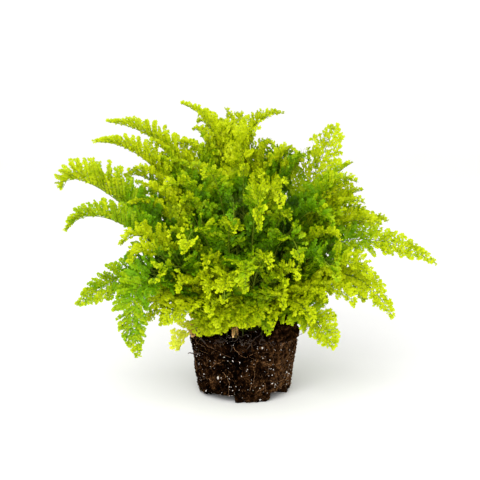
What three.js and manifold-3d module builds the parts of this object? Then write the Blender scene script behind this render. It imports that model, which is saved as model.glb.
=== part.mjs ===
// A soft, ruffled, lime green fern, lifted out of its pot: its fronds rise from the top of a pot-shaped ball of
// soil and roots. Millimetres, +Z up. The origin is the middle of the ball's flat underside, on the table;
// +X is the plant's right as it is seen from the front, and +Y its back.
import * as THREE from "three";
import { mergeVertices } from "three/addons/utils/BufferGeometryUtils.js";
import Module from "manifold-3d";

const wasm = await Module();
wasm.setup();

// ---- driving dimensions: the ball of soil
const BALL_RIM_RADIUS = 55.5;
const BALL_BASE_RADIUS = 46.5;
const BALL_RIM_HEIGHT = 62;
const BALL_MOUND = 13; // how far the crown stands above the rim
const BALL_EDGE = 4; // rounding of the rim and of the base
const BALL_LUMP = 1.3;
const BALL_SIDES = 32;
const NOTCH_COUNT = 4; // moulded by the slots round the pot's base
const NOTCH_ANGLE = 45; // degrees
const NOTCH_FIRST = 55; // degrees, the middle of the first notch
const NOTCH_HEIGHT = 5;
const NOTCH_DEPTH = 13;

// ---- driving dimensions: the fronds
const STEM_RADIUS = 1.3; // half the width of a spine at its foot
const STEM_TIP_RADIUS = 0.7;
const STEM_SUNK = 9; // how deep a stem stands in the soil
const STEM_HOLE_GAP = 0.45;
const HOLE_SIDES = 5;
const STEM_SPREAD = 5.6; // base of the k-th stem is this times the root of k from the middle of the crown
const RISE_OUT = 0.3; // a stem first heads for this share of the way out to its bend
const RISE_UP = 0.6; // and for this share of the way up to it
const BARE_SHARE = 0.2; // of a frond's length, below its first leaflets
const LEAFLET_STEP = 13.5; // from one pair of leaflets to the next
const LEAFLET_FOLD = 52; // degrees that the two rows of leaflets are folded up
const LEAFLET_RUFFLE = 8; // degrees that single leaflets are folded more or less
const LEAFLET_THICKNESS = 0.8;
const LEAFLET_CUT = 0.14; // share of the step by which a leaflet's end is narrower on each side
const LEAFLET_SHARES = [1, 0.84, 0.68, 0.52, 0.36, 0.22]; // of its length, tried in turn until it is clear
const LEAFLET_ROOM = 1.8; // least distance between the faces of two leaflets of different fronds
const SPINE_ROOM = 3.1; // and from a leaflet to the spine of another frond
const SOIL_ROOM = 2.5;

// Fronds as they stand in the plant: the azimuth of the stem (degrees, 0 right, 90 back, 180 left, 270 front), the
// tip's azimuth, distance from the axis and height, the distance and height of the point that the arch bends
// towards, how far the blade is rolled (degrees), and the longest leaflet. A frond that is spread flatter or closed
// further has its own fold.
const FRONDS = [
  { name: "left_crest", stem: 183, tip: [183, 184, 217], bend: [164, 255], leaflet: 41, fold: 58 },
  { name: "left_hook", stem: 196, tip: [195, 180, 179], bend: [159, 222], leaflet: 25, fold: 56 },
  { name: "left_high", stem: 163, tip: [165, 143, 276], bend: [87, 278], leaflet: 32 },
  { name: "left_upper", stem: 172, tip: [175, 151, 258], bend: [102, 267], leaflet: 30 },
  { name: "left_low", stem: 205, tip: [201, 176, 107], bend: [130, 154], roll: -70, leaflet: 24, fold: 22 },
  { name: "left_hanging", stem: 227, tip: [222, 138, 62], bend: [179, 154], roll: -40, leaflet: 20, fold: 20 },
  { name: "left_skirt", stem: 232, tip: [231, 122, 96], bend: [108, 124], roll: -25, leaflet: 24, fold: 30 },
  { name: "left_inner", stem: 208, tip: [207, 136, 168], bend: [121, 197], roll: -15, leaflet: 28 },
  { name: "left_side", stem: 214, tip: [213, 134, 154], bend: [118, 182], roll: -30, leaflet: 28, fold: 35 },
  { name: "top_left", stem: 150, tip: [150, 75, 295], bend: [34, 293], leaflet: 27 },
  { name: "top_right", stem: 44, tip: [40, 50, 288], bend: [10, 302], roll: 10, leaflet: 24 },
  { name: "top_back", stem: 98, tip: [96, 72, 280], bend: [22, 292], leaflet: 28 },
  { name: "top_crown", stem: 128, tip: [124, 44, 278], bend: [20, 290], leaflet: 28 },
  { name: "top_behind", stem: 62, tip: [58, 52, 262], bend: [26, 280], leaflet: 28 },
  { name: "top_shoulder", stem: 166, tip: [168, 70, 258], bend: [44, 272], leaflet: 28 },
  { name: "right_back", stem: 14, tip: [16, 54, 251], bend: [33, 275], roll: 10, leaflet: 30 },
  { name: "right_plume", stem: 28, tip: [30, 115, 272], bend: [102, 244], roll: 62, leaflet: 31, fold: 25 },
  { name: "right_upper", stem: 343, tip: [340, 118, 227], bend: [95, 243], roll: 10, leaflet: 31 },
  { name: "right_edge", stem: 350, tip: [350, 121, 203], bend: [102, 218], roll: 30, leaflet: 30, fold: 40 },
  { name: "right_middle", stem: 8, tip: [10, 151, 176], bend: [121, 186], roll: 30, leaflet: 28, fold: 40 },
  { name: "right_long", stem: 354, tip: [350, 191, 144], bend: [136, 188], roll: 66, leaflet: 26, fold: 24 },
  { name: "right_low", stem: 333, tip: [330, 167, 100], bend: [141, 159], roll: 55, leaflet: 23, fold: 22 },
  { name: "right_hanging", stem: 320, tip: [316, 120, 68], bend: [98, 114], roll: 40, leaflet: 22, fold: 20 },
  { name: "right_skirt", stem: 340, tip: [338, 74, 76], bend: [64, 104], roll: 30, leaflet: 22, fold: 30 },
  { name: "right_side", stem: 325, tip: [325, 149, 140], bend: [121, 176], roll: 30, leaflet: 28, fold: 35 },
  { name: "right_inner", stem: 315, tip: [318, 143, 116], bend: [112, 150], roll: 35, leaflet: 26, fold: 35 },
  { name: "front_curtain", stem: 277, tip: [273, 122, 194], bend: [118, 268], leaflet: 27, fold: 35 },
  { name: "front_upper", stem: 260, tip: [264, 102, 196], bend: [92, 252], roll: -10, leaflet: 26, fold: 40 },
  { name: "front_diagonal", stem: 240, tip: [240, 81, 235], bend: [59, 262], roll: -20, leaflet: 27, fold: 40 },
  { name: "front_low", stem: 257, tip: [260, 115, 122], bend: [98, 168], roll: -10, leaflet: 26, fold: 35 },
  { name: "front_middle", stem: 271, tip: [274, 120, 134], bend: [100, 186], roll: 10, leaflet: 26, fold: 35 },
  { name: "front_right", stem: 301, tip: [299, 110, 158], bend: [86, 212], roll: 15, leaflet: 27, fold: 38 },
  { name: "right_arch", stem: 290, tip: [289, 106, 213], bend: [76, 262], roll: 10, leaflet: 27, fold: 38 },
  { name: "left_arch", stem: 232, tip: [237, 116, 166], bend: [88, 218], roll: -20, leaflet: 27, fold: 40 },
  { name: "right_fan", stem: 308, tip: [311, 136, 143], bend: [108, 186], roll: 20, leaflet: 27, fold: 40 },
  { name: "left_fan", stem: 227, tip: [230, 138, 140], bend: [104, 180], roll: -25, leaflet: 27, fold: 40 },
  { name: "right_crown", stem: 325, tip: [322, 108, 188], bend: [78, 228], roll: 20, leaflet: 28 },
  { name: "left_crown", stem: 214, tip: [217, 100, 222], bend: [66, 248], roll: -15, leaflet: 28 },
  { name: "rim_left", stem: 244, tip: [248, 82, 76], bend: [68, 102], roll: -10, leaflet: 20 },
  { name: "rim_middle", stem: 267, tip: [268, 78, 82], bend: [64, 106], leaflet: 18 },
  { name: "rim_right", stem: 296, tip: [292, 76, 80], bend: [62, 102], roll: 10, leaflet: 17 },
];

// The back of the plant follows a rule: three tiers, one frond after another by the golden angle.
const BACK_COUNT = 12;
const BACK_FROM = 38;
const BACK_SWEEP = 106; // degrees
const GOLDEN_ANGLE = 137.508;
const BACK_TIERS = [
  { tip: [104, 250], bend: [66, 270], leaflet: 28 },
  { tip: [158, 176], bend: [124, 204], leaflet: 28 },
  { tip: [152, 110], bend: [128, 150], leaflet: 26 },
];
const BACK_VARY = 0.09; // share by which a back frond differs from its tier

// Old fronds at the rim of the ball.
const OLD_FRONDS = [
  { name: "yellow_frond", stem: 209, tip: [208, 81, 52], bend: [74, 80], roll: -15, leaflet: 17, shade: "yellow" },
  { name: "dry_frond_left", stem: 215, tip: [213, 62, 70], bend: [50, 92], roll: -30, leaflet: 9, shade: "dry" },
  { name: "dry_frond_front", stem: 258, tip: [256, 60, 66], bend: [48, 88], leaflet: 7, shade: "dry" },
];

const MATERIALS = {
  soil: new THREE.MeshStandardMaterial({ color: 0x2c1d12, roughness: 0.95, metalness: 0 }),
  green: new THREE.MeshStandardMaterial({ color: 0x86b416, roughness: 0.6, metalness: 0 }),
  yellow: new THREE.MeshStandardMaterial({ color: 0xc9c22a, roughness: 0.65, metalness: 0 }),
  dry: new THREE.MeshStandardMaterial({ color: 0xa9702f, roughness: 0.8, metalness: 0 }),
};

const radians = THREE.MathUtils.degToRad;

// An even, repeatable draw from -1 to 1 for one trait of one thing.
function draw(thing, trait) {
  return 2 * ((thing * 0.6180339887 + trait * 0.7548776662) % 1) - 1;
}

function polar(azimuth, out, up) {
  return new THREE.Vector3(out * Math.cos(radians(azimuth)), out * Math.sin(radians(azimuth)), up);
}

// Height of the ball's top at a distance from its axis: a mound that is round at the rim.
function moundHeight(out) {
  const share = Math.min(out / BALL_RIM_RADIUS, 1);
  return BALL_RIM_HEIGHT + BALL_MOUND * (1 - share * share);
}

// ---- the fronds' arches

function backFronds() {
  return Array.from({ length: BACK_COUNT }, (_, k) => {
    const tier = BACK_TIERS[k % BACK_TIERS.length];
    const stem = BACK_FROM + ((k * GOLDEN_ANGLE) % BACK_SWEEP);
    const [wider, taller] = [2, 3].map((trait) => 1 + BACK_VARY * draw(k, trait));
    return {
      name: `back_${k + 1}`,
      stem,
      tip: [stem + 4 * draw(k, 1), tier.tip[0] * wider, tier.tip[1] * taller],
      bend: [tier.bend[0] * wider, tier.bend[1] * taller],
      roll: 20 * draw(k, 4),
      leaflet: tier.leaflet,
    };
  });
}

// Upright fronds spring from the middle of the crown, and low ones from its edge.
function setFeet(fronds) {
  const lean = ({ bend: [out, up] }) => Math.atan2(up - BALL_RIM_HEIGHT, out);
  [...fronds].sort((a, b) => lean(b) - lean(a)).forEach((frond, k) => {
    const out = STEM_SPREAD * Math.sqrt(k + 1);
    frond.foot = polar(frond.stem, out, moundHeight(out));
  });
}

// The frond's spine: one arch from its foot to its tip, with stations at even steps.
function spineOf(frond) {
  const [bendOut, bendUp] = frond.bend;
  const rise = frond.foot.clone().lerp(polar(frond.stem, bendOut, frond.foot.z), RISE_OUT);
  rise.z += RISE_UP * (bendUp - frond.foot.z);
  const bend = polar((frond.stem + frond.tip[0]) / 2, bendOut, bendUp);
  const arch = new THREE.CubicBezierCurve3(frond.foot, rise, bend, polar(...frond.tip));
  const level = polar(frond.stem + 90, 1, 0);
  const at = (share) => {
    const point = arch.getPointAt(share);
    const ahead = arch.getTangentAt(share);
    const flat = level.clone().addScaledVector(ahead, -level.dot(ahead)).normalize();
    const side = flat.applyAxisAngle(ahead, radians(frond.roll ?? 0));
    const over = new THREE.Vector3().crossVectors(ahead, side);
    const radius = THREE.MathUtils.lerp(STEM_RADIUS, STEM_TIP_RADIUS, share);
    return { point, ahead, side, over, radius };
  };
  const foot = at(0);
  const sunk = { ...foot, point: frond.foot.clone().addScaledVector(foot.ahead, -STEM_SUNK) };
  const stem = [0, 1 / 3, 2 / 3].map((share) => at(share * BARE_SHARE));
  const pairs = Math.round(((1 - BARE_SHARE) * arch.getLength()) / LEAFLET_STEP);
  const blade = Array.from({ length: pairs + 1 }, (_, k) => at(BARE_SHARE + (k / pairs) * (1 - BARE_SHARE)));
  return { sunk, stem, blade };
}

// Share of the longest leaflet at a share of the blade: broad low down, and drawn in at the tip.
function bladeWidth(share) {
  const rise = Math.min(1, 0.5 + share / 0.4);
  return rise * Math.max(0.2, 1 - Math.pow(share, 4));
}

// The outer end of a leaflet that has grown to a length: its corner towards the foot, its corner towards the tip,
// and the way down from its upper face. Row 1 is the left one and row -1 the right one.
function leafletEnd(frond, number, station, next, k, pairs, row, length) {
  const trait = 2 * k + row;
  const fold = radians((frond.fold ?? LEAFLET_FOLD) + LEAFLET_RUFFLE * draw(number, trait));
  const sweep = radians(12 + (32 * k) / pairs + 5 * draw(number, trait + 50));
  const away = station.side.clone().multiplyScalar(row * Math.cos(fold)).addScaledVector(station.over, Math.sin(fold));
  const reach = away.clone().multiplyScalar(Math.cos(sweep)).addScaledVector(station.ahead, Math.sin(sweep));
  const longer = draw(number, trait + 20) > 0;
  const low = edgePoint(station, row).addScaledVector(reach, length * (longer ? 1 : 0.84));
  const high = edgePoint(next, row).addScaledVector(reach, length * (longer ? 0.84 : 1));
  const down = new THREE.Vector3().crossVectors(away, station.ahead).multiplyScalar(row * LEAFLET_THICKNESS);
  const step = high.clone().sub(low).multiplyScalar(LEAFLET_CUT);
  return { low: low.add(step), high: high.sub(step), down };
}

// The upper edge of the spine on one side, where leaflets grow from.
function edgePoint({ point, side, radius }, row) {
  return point.clone().addScaledVector(side, row * radius);
}

// ---- what keeps leaflets of different fronds apart

function triangleGap(a, b) {
  const edges = (t) => [new THREE.Line3(t.a, t.b), new THREE.Line3(t.b, t.c), new THREE.Line3(t.c, t.a)];
  const hit = new THREE.Vector3();
  const pierces = (t, line) => {
    const span = line.distance();
    const ray = new THREE.Ray(line.start, line.delta(new THREE.Vector3()).normalize());
    return ray.intersectTriangle(t.a, t.b, t.c, false, hit) && hit.distanceTo(line.start) < span;
  };
  const edgesA = edges(a);
  const edgesB = edges(b);
  if (edgesA.some((line) => pierces(b, line)) || edgesB.some((line) => pierces(a, line))) return 0;
  const between = edgesA.flatMap((la) => edgesB.map((lb) => Math.sqrt(la.distanceSqToLine3(lb))));
  const corners = (t, other) => [t.a, t.b, t.c].map((p) => t !== other && p.distanceTo(other.closestPointToPoint(p, hit)));
  return Math.min(...between, ...corners(a, b), ...corners(b, a));
}

// Everything grown so far: triangles, the sphere round each, the frond it belongs to, and the room that it needs.
const grown = [];

function withSphere(triangle) {
  return { triangle, round: new THREE.Sphere().setFromPoints([triangle.a, triangle.b, triangle.c]) };
}

function isAboveSoil(point) {
  const out = Math.hypot(point.x, point.y);
  return out > BALL_RIM_RADIUS + SOIL_ROOM || point.z > moundHeight(out) + SOIL_ROOM;
}

function isClear({ triangle, round }, number) {
  return grown.every((other) => {
    if (other.number === number) return true;
    const apart = round.center.distanceTo(other.round.center) - round.radius - other.round.radius;
    return apart > other.room || triangleGap(triangle, other.triangle) > other.room;
  });
}

function growSpine({ sunk, stem, blade }, number) {
  const line = [sunk, ...stem, ...blade];
  line.slice(1).forEach((here, k) => {
    const triangle = new THREE.Triangle(edgePoint(line[k], 1), edgePoint(line[k], -1), here.point);
    grown.push({ ...withSphere(triangle), number, room: SPINE_ROOM });
  });
}

// The leaflets of one frond, each as long as its neighbours leave room for; where there is no room, there is none.
function growLeaflets(frond, number, { blade }) {
  const pairs = blade.length - 1;
  return blade.slice(0, -1).map((station, k) => {
    const next = blade[k + 1];
    return [1, -1].map((row) => {
      const full = frond.leaflet * bladeWidth((k + 0.5) / pairs);
      for (const share of LEAFLET_SHARES) {
        const end = leafletEnd(frond, number, station, next, k, pairs, row, full * share);
        const root = edgePoint(station, row);
        const lower = withSphere(new THREE.Triangle(root, end.high, end.low));
        const upper = withSphere(new THREE.Triangle(root, edgePoint(next, row), end.high));
        if ([end.low, end.high].every(isAboveSoil) && isClear(lower, number) && isClear(upper, number)) {
          grown.push({ ...lower, number, room: LEAFLET_ROOM }, { ...upper, number, room: LEAFLET_ROOM });
          return end;
        }
      }
      return null;
    });
  });
}

// ---- solids

// A closed mesh of named corners: faces are added as rings of points, and equal points are one vertex.
class Faces {
  positions = [];
  add(...ring) {
    for (let k = 1; k + 1 < ring.length; k++) {
      for (const p of [ring[0], ring[k], ring[k + 1]]) this.positions.push(p.x, p.y, p.z);
    }
  }
  geometry() {
    const loose = new THREE.BufferGeometry();
    loose.setAttribute("position", new THREE.Float32BufferAttribute(this.positions, 3));
    const merged = mergeVertices(loose, 1e-4);
    merged.computeVertexNormals();
    return merged;
  }
}

// The corners of the spine's section at a station: by row, the upper and the lower one.
function sectionAt(station) {
  const corners = (row) => {
    const top = edgePoint(station, row);
    return { top, low: top.clone().addScaledVector(station.over, -2 * station.radius) };
  };
  return { left: corners(1), right: corners(-1) };
}

// One leaflet, or the bare side of the spine, between two corners of the spine. Both rows are turned alike, so the
// faces of the right one are added the other way round.
function addLeaflet(faces, row, a, b, end) {
  const add = (...ring) => faces.add(...(row > 0 ? ring : ring.reverse()));
  if (!end) {
    add(a.top, b.top, b.low, a.low);
    return;
  }
  const lowUnder = end.low.clone().add(end.down);
  const highUnder = end.high.clone().add(end.down);
  add(a.top, b.top, end.high, end.low);
  add(end.high, b.top, b.low, highUnder);
  add(end.low, end.high, highUnder, lowUnder);
  add(a.top, end.low, lowUnder, a.low);
  add(a.low, lowUnder, highUnder);
  add(a.low, highUnder, b.low);
}

// One solid for a whole frond: a four-sided spine, and on each side a row of leaflets that are cut to the spine.
function frondGeometry(spine, ends) {
  const faces = new Faces();
  const line = [spine.sunk, ...spine.stem, ...spine.blade];
  const bareSpans = line.length - spine.blade.length;
  const sections = line.map(sectionAt);
  const first = sections[0];
  faces.add(first.left.top, first.left.low, first.right.low, first.right.top);
  sections.slice(1).forEach((b, k) => {
    const a = sections[k];
    faces.add(a.left.top, a.right.top, b.right.top, b.left.top);
    faces.add(a.left.low, b.left.low, b.right.low, a.right.low);
    const [left, right] = k < bareSpans ? [null, null] : ends[k - bareSpans];
    addLeaflet(faces, 1, a.left, b.left, left);
    addLeaflet(faces, -1, a.right, b.right, right);
  });
  const last = sections.at(-1);
  faces.add(last.left.top, last.right.top, last.right.low, last.left.low);
  return faces.geometry();
}

function solidOf(geometry) {
  const plain = geometry.clone();
  plain.deleteAttribute("normal");
  plain.deleteAttribute("uv");
  const merged = mergeVertices(plain, 1e-3);
  const vertProperties = new Float32Array(merged.attributes.position.array);
  return new wasm.Manifold(new wasm.Mesh({ numProp: 3, vertProperties, triVerts: new Uint32Array(merged.index.array) }));
}

function geometryOf(solid) {
  const { vertProperties, triVerts } = solid.getMesh();
  const geometry = new THREE.BufferGeometry();
  geometry.setAttribute("position", new THREE.BufferAttribute(vertProperties, 3));
  geometry.setIndex(new THREE.BufferAttribute(triVerts, 1));
  geometry.computeVertexNormals();
  return geometry;
}

// The ball's outline from the middle of the underside to the top of the crown, as radius and height.
function ballOutline() {
  const wall = Array.from({ length: 5 }, (_, k) => {
    const share = k / 4;
    const height = THREE.MathUtils.lerp(BALL_EDGE, BALL_RIM_HEIGHT - BALL_EDGE, share);
    return [THREE.MathUtils.lerp(BALL_BASE_RADIUS, BALL_RIM_RADIUS, height / BALL_RIM_HEIGHT), height];
  });
  const top = [0.93, 0.72, 0.45, 0.2].map((share) => [share * BALL_RIM_RADIUS, moundHeight(share * BALL_RIM_RADIUS)]);
  return [[0, 0], [BALL_BASE_RADIUS - BALL_EDGE, 0], ...wall, ...top, [0, moundHeight(0)]];
}

// Crumbly lumps, as a share of their full height, at an azimuth (radians) and a height.
function lump(azimuth, height) {
  const broad = Math.sin(3 * azimuth + height / 9) * Math.cos(2 * azimuth - height / 14);
  const fine = Math.sin(11 * azimuth + height / 5) * Math.sin(height / 3.7 + 5 * azimuth);
  return 0.6 * broad + 0.4 * fine;
}

function ballGeometry(spines) {
  const profile = ballOutline().map(([out, up]) => new THREE.Vector2(out, up));
  const lathe = new THREE.LatheGeometry(profile, BALL_SIDES).rotateX(Math.PI / 2);
  const position = lathe.attributes.position;
  for (let k = 0; k < position.count; k++) {
    const [x, y, z] = [position.getX(k), position.getY(k), position.getZ(k)];
    const out = Math.hypot(x, y);
    if (z <= 0 || out < 1) continue; // the underside stays flat
    const grownOut = 1 + (BALL_LUMP * lump(Math.atan2(y, x), z)) / out;
    position.setXYZ(k, x * grownOut, y * grownOut, z);
  }
  let ball = solidOf(lathe);
  for (let k = 0; k < NOTCH_COUNT; k++) {
    const middle = NOTCH_FIRST + (k * 360) / NOTCH_COUNT;
    ball = ball.subtract(solidOf(notchGeometry(radians(middle - NOTCH_ANGLE / 2), radians(middle + NOTCH_ANGLE / 2))));
  }
  for (const { sunk, stem } of spines) ball = ball.subtract(solidOf(holeGeometry(sunk, stem[0])));
  return geometryOf(ball);
}

// One slot of the pot's base: a sector of a ring, cut into the ball's lower edge.
function notchGeometry(from, to) {
  const inner = BALL_BASE_RADIUS - NOTCH_DEPTH;
  const outer = BALL_RIM_RADIUS + 5;
  const sector = new THREE.Shape();
  sector.absarc(0, 0, outer, from, to, false);
  sector.absarc(0, 0, inner, to, from, true);
  const slot = new THREE.ExtrudeGeometry(sector, { depth: 2 * NOTCH_HEIGHT, bevelEnabled: false, curveSegments: 5 });
  return slot.translate(0, 0, -NOTCH_HEIGHT);
}

// The hole that a stem stands in.
function holeGeometry(sunk, foot) {
  const below = sunk.point.clone().addScaledVector(foot.ahead, -STEM_HOLE_GAP);
  const above = foot.point.clone().addScaledVector(foot.ahead, STEM_SUNK);
  const length = below.distanceTo(above);
  const radius = (Math.SQRT2 * STEM_RADIUS + STEM_HOLE_GAP) / Math.cos(Math.PI / HOLE_SIDES);
  const drill = new THREE.CylinderGeometry(radius, radius, length, HOLE_SIDES);
  drill.translate(0, length / 2, 0);
  const turn = new THREE.Quaternion().setFromUnitVectors(new THREE.Vector3(0, 1, 0), foot.ahead);
  const centre = below.addScaledVector(foot.over, -STEM_RADIUS);
  return drill.applyQuaternion(turn).translate(centre.x, centre.y, centre.z);
}

// ---- the plant

const green = [...FRONDS, ...backFronds()].map((frond) => ({ ...frond, name: `frond_${frond.name}` }));
const fronds = [...green, ...OLD_FRONDS];
setFeet(fronds);
const spines = fronds.map(spineOf);
spines.forEach(growSpine);

const plant = new THREE.Group();

function addPiece(name, geometry, material) {
  const mesh = new THREE.Mesh(geometry, material);
  mesh.name = name;
  plant.add(mesh);
}

addPiece("root_ball", ballGeometry(spines), MATERIALS.soil);
fronds.forEach((frond, number) => {
  const ends = growLeaflets(frond, number, spines[number]);
  addPiece(frond.name, frondGeometry(spines[number], ends), MATERIALS[frond.shade ?? "green"]);
});

export default plant;
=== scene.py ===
"""A soft, ruffled, lime green fern on its bare ball of soil and roots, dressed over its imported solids.

Each frond is rebuilt leaf by leaf on the arch of the solid that it stands for, young fronds fill the crown
between them, and the ball gets its crumbs, white grains and roots. Lengths in the tables are millimetres and
angles are degrees. Azimuth 0 is to the right and 270 to the front. What is built is in metres, +Z up.
"""

import math
from dataclasses import dataclass

import bmesh
import bpy
import numpy as np
from bpy.props import FloatProperty, FloatVectorProperty, IntProperty, PointerProperty
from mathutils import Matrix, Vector, noise


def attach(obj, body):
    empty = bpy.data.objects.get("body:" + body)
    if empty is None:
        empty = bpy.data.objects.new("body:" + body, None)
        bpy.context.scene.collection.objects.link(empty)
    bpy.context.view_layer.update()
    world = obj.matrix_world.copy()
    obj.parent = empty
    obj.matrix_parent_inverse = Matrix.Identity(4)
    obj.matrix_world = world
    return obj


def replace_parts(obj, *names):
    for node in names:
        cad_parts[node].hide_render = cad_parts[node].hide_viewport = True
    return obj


bl_info = {
    "name": "Ruffled fern",
    "version": (1, 0, 0),
    "blender": (4, 5, 0),
    "location": "3D View > Sidebar > Fern",
    "description": "Builds the leaves, soil, roots and studio of a fern on its root ball",
    "category": "Object",
}

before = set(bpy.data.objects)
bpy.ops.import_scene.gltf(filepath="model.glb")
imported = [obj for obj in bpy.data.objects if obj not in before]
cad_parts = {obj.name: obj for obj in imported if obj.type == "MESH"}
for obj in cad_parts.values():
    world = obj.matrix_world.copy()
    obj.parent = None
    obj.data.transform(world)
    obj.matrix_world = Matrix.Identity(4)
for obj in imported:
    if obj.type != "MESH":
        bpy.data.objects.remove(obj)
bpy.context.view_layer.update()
MM = 0.001

# ---- the ball, as in the solids
RIM_RADIUS, BASE_RADIUS = 55.5, 46.5
RIM_HEIGHT, MOUND = 62, 13
EDGE = 4  # how far up the rounding of the lower edge reaches
LUMP = 1.3  # how far the lumps of its side stand out
LEAN = 0.9  # how far it is shifted to the left
NOTCHES, NOTCH_ANGLE, NOTCH_FIRST = 4, 45, 55
NOTCH_HEIGHTS, NOTCH_DEPTH, NOTCH_SOFT = (7, 7, 8, 10), 30, 1.2
WORN_ANGLE, WORN_SPREAD, WORN_HEIGHT = 203, 16, 4.5  # where soil has crumbled off the lower edge
WORN_DEPTH, WORN_SOFT = 26, 14

# ---- the fronds, as in the solids
STEM_SUNK = 9  # how deep a stem stands in the soil
STEM_SPREAD = 5.6  # how far apart the stems stand
RISE_OUT, RISE_UP = 0.3, 0.6  # the shares of its bend that a stem has gone out and up by its first knot


@dataclass
class Frond:
    """One frond: the azimuth of its stem, its tip (azimuth, out, up), the bend of its arch (out, up), the
    roll of its blade, its longest rib, how far its two rows are folded up, its tone from old 0 to young 1,
    which is partly its age and partly painted light and shade, how open it is, as a factor on the room that
    each rib and leaf takes, how blunt its tip is, how ruffled its rows are, how much younger and lighter it
    is at its tip than at its foot, which partly paints shade deep in the crown, and its finish."""

    name: str
    stem: float
    tip: tuple
    bend: tuple
    roll: float = 0
    leaflet: float = 28
    fold: float = 52
    tone: float = 0.5
    open: float = 1
    blunt: float = 4
    ruffle: float = 1
    fade: float = 0.2
    shade: str = "green_leaf"


FRONDS = [
    Frond(
        "left_crest", 183, (183, 185, 216), (180, 253), leaflet=36, fold=58, tone=0.4, blunt=9,
        ruffle=0.3, fade=0.6,
    ),
    Frond("left_hook", 196, (195, 183, 180), (158, 222), leaflet=31, fold=60, tone=0.4, ruffle=0.3),
    Frond("left_high", 163, (165, 147, 278), (66, 272), leaflet=31, tone=1, ruffle=0.6),
    Frond("left_upper", 172, (175, 155, 260), (96, 266), leaflet=30, tone=0.8, ruffle=0.6),
    Frond(
        "left_low", 205, (201, 177, 108), (100, 163), roll=-70, leaflet=27, fold=26, open=0.85,
        ruffle=0.4, fade=0.5, tone=0.3,
    ),
    Frond(
        "left_hanging", 227, (222, 140, 64), (179, 188), roll=-40, leaflet=26, fold=24, open=0.85,
        ruffle=0.4, fade=0.6, tone=0.2,
    ),
    Frond("left_skirt", 232, (231, 122, 96), (108, 124), roll=-25, leaflet=24, fold=30, tone=0.8),
    Frond("left_inner", 208, (207, 136, 168), (121, 197), roll=-15, leaflet=28, tone=1),
    Frond("left_side", 214, (213, 134, 154), (118, 182), roll=-30, leaflet=28, fold=35, tone=0.8),
    Frond("top_left", 150, (150, 75, 297), (14, 282), leaflet=27, tone=1),
    Frond("top_right", 44, (40, 50, 288), (-30, 290), roll=10, leaflet=24, fade=0.3, tone=1),
    Frond("top_back", 98, (96, 72, 280), (22, 292), leaflet=28, tone=0.8),
    Frond("top_crown", 128, (124, 44, 278), (20, 290), leaflet=28, tone=0.7),
    Frond("top_behind", 62, (58, 52, 254), (26, 272), leaflet=28, tone=0.6),
    Frond("top_shoulder", 166, (168, 70, 258), (44, 272), leaflet=28, tone=0.7),
    Frond("right_back", 14, (16, 54, 249), (33, 270), roll=10, leaflet=30, tone=1),
    Frond(
        "right_plume", 28, (30, 110, 272), (92, 234), roll=62, leaflet=35, fold=25, tone=0.9, open=1.3,
        blunt=6,
    ),
    Frond("right_upper", 343, (340, 118, 227), (95, 243), roll=10, leaflet=31, tone=0.6),
    Frond("right_edge", 350, (350, 121, 203), (102, 218), roll=30, leaflet=30, fold=40, tone=0.8),
    Frond("right_middle", 8, (10, 151, 176), (121, 186), roll=30, leaflet=28, fold=40, tone=0.8),
    Frond("right_long", 354, (350, 195, 144), (100, 196), roll=66, leaflet=21, fold=24, tone=0.6),
    Frond("right_low", 333, (330, 167, 100), (120, 170), roll=55, leaflet=21, fold=22, tone=1),
    Frond(
        "right_hanging", 320, (316, 122, 70), (70, 124), roll=40, leaflet=26, fold=24, open=0.85,
        ruffle=0.4, tone=0.6,
    ),
    Frond("right_skirt", 340, (338, 74, 76), (64, 104), roll=30, leaflet=22, fold=30, tone=0.4),
    Frond("right_side", 325, (325, 149, 140), (121, 176), roll=30, leaflet=28, fold=35, tone=0.7),
    Frond("right_inner", 315, (318, 143, 116), (112, 150), roll=35, leaflet=26, fold=35, tone=1),
    Frond("front_curtain", 277, (276, 122, 194), (118, 268), leaflet=27, fold=64, tone=0.5),
    Frond("front_upper", 260, (264, 102, 196), (92, 252), roll=-10, leaflet=26, fold=60, tone=0.1),
    Frond("front_diagonal", 240, (240, 81, 235), (59, 262), roll=-20, leaflet=27, fold=40, tone=0.6),
    Frond("front_low", 257, (260, 115, 122), (98, 168), roll=-10, leaflet=26, fold=35, tone=0.9),
    Frond("front_middle", 271, (270, 120, 134), (100, 186), roll=10, leaflet=26, fold=35, tone=0.5),
    Frond("front_right", 301, (299, 110, 158), (86, 212), roll=15, leaflet=27, fold=38, tone=0.6),
    Frond("right_arch", 290, (289, 106, 213), (76, 262), roll=10, leaflet=27, fold=38, tone=1),
    Frond("left_arch", 232, (240, 116, 168), (88, 218), roll=-20, leaflet=27, fold=40, tone=0.7),
    Frond("right_fan", 308, (311, 136, 143), (108, 186), roll=20, leaflet=27, fold=40, tone=0.3),
    Frond("left_fan", 227, (230, 138, 140), (104, 172), roll=-25, leaflet=30, fold=40, tone=0.5),
    Frond("right_crown", 325, (322, 108, 188), (78, 228), roll=20, leaflet=28, tone=0.4),
    Frond("left_crown", 214, (217, 100, 222), (66, 248), roll=-15, leaflet=28, tone=0.7),
    Frond("rim_left", 244, (248, 80, 82), (68, 106), roll=-10, leaflet=20, tone=1),
    Frond("rim_middle", 267, (268, 76, 88), (64, 110), leaflet=18, tone=0.8),
    Frond("rim_right", 296, (292, 75, 88), (62, 108), roll=10, leaflet=17, tone=0.8),
]

# The back: how many fronds, the azimuths that they are spread over, and how far each may vary.
GOLDEN_ANGLE = 137.508
BACK_COUNT, BACK_FROM, BACK_SWEEP = 12, 38, 106
BACK_VARY, BACK_TURN, BACK_ROLL = 0.09, 4, 20
BACK_TONE, BACK_TONE_VARY = 0.6, 0.2
BACK_TIERS = [  # the tip (out, up), the bend (out, up) and the longest rib of each
    ((104, 250), (66, 270), 28),
    ((158, 176), (124, 204), 28),
    ((152, 110), (128, 150), 26),
]

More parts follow.
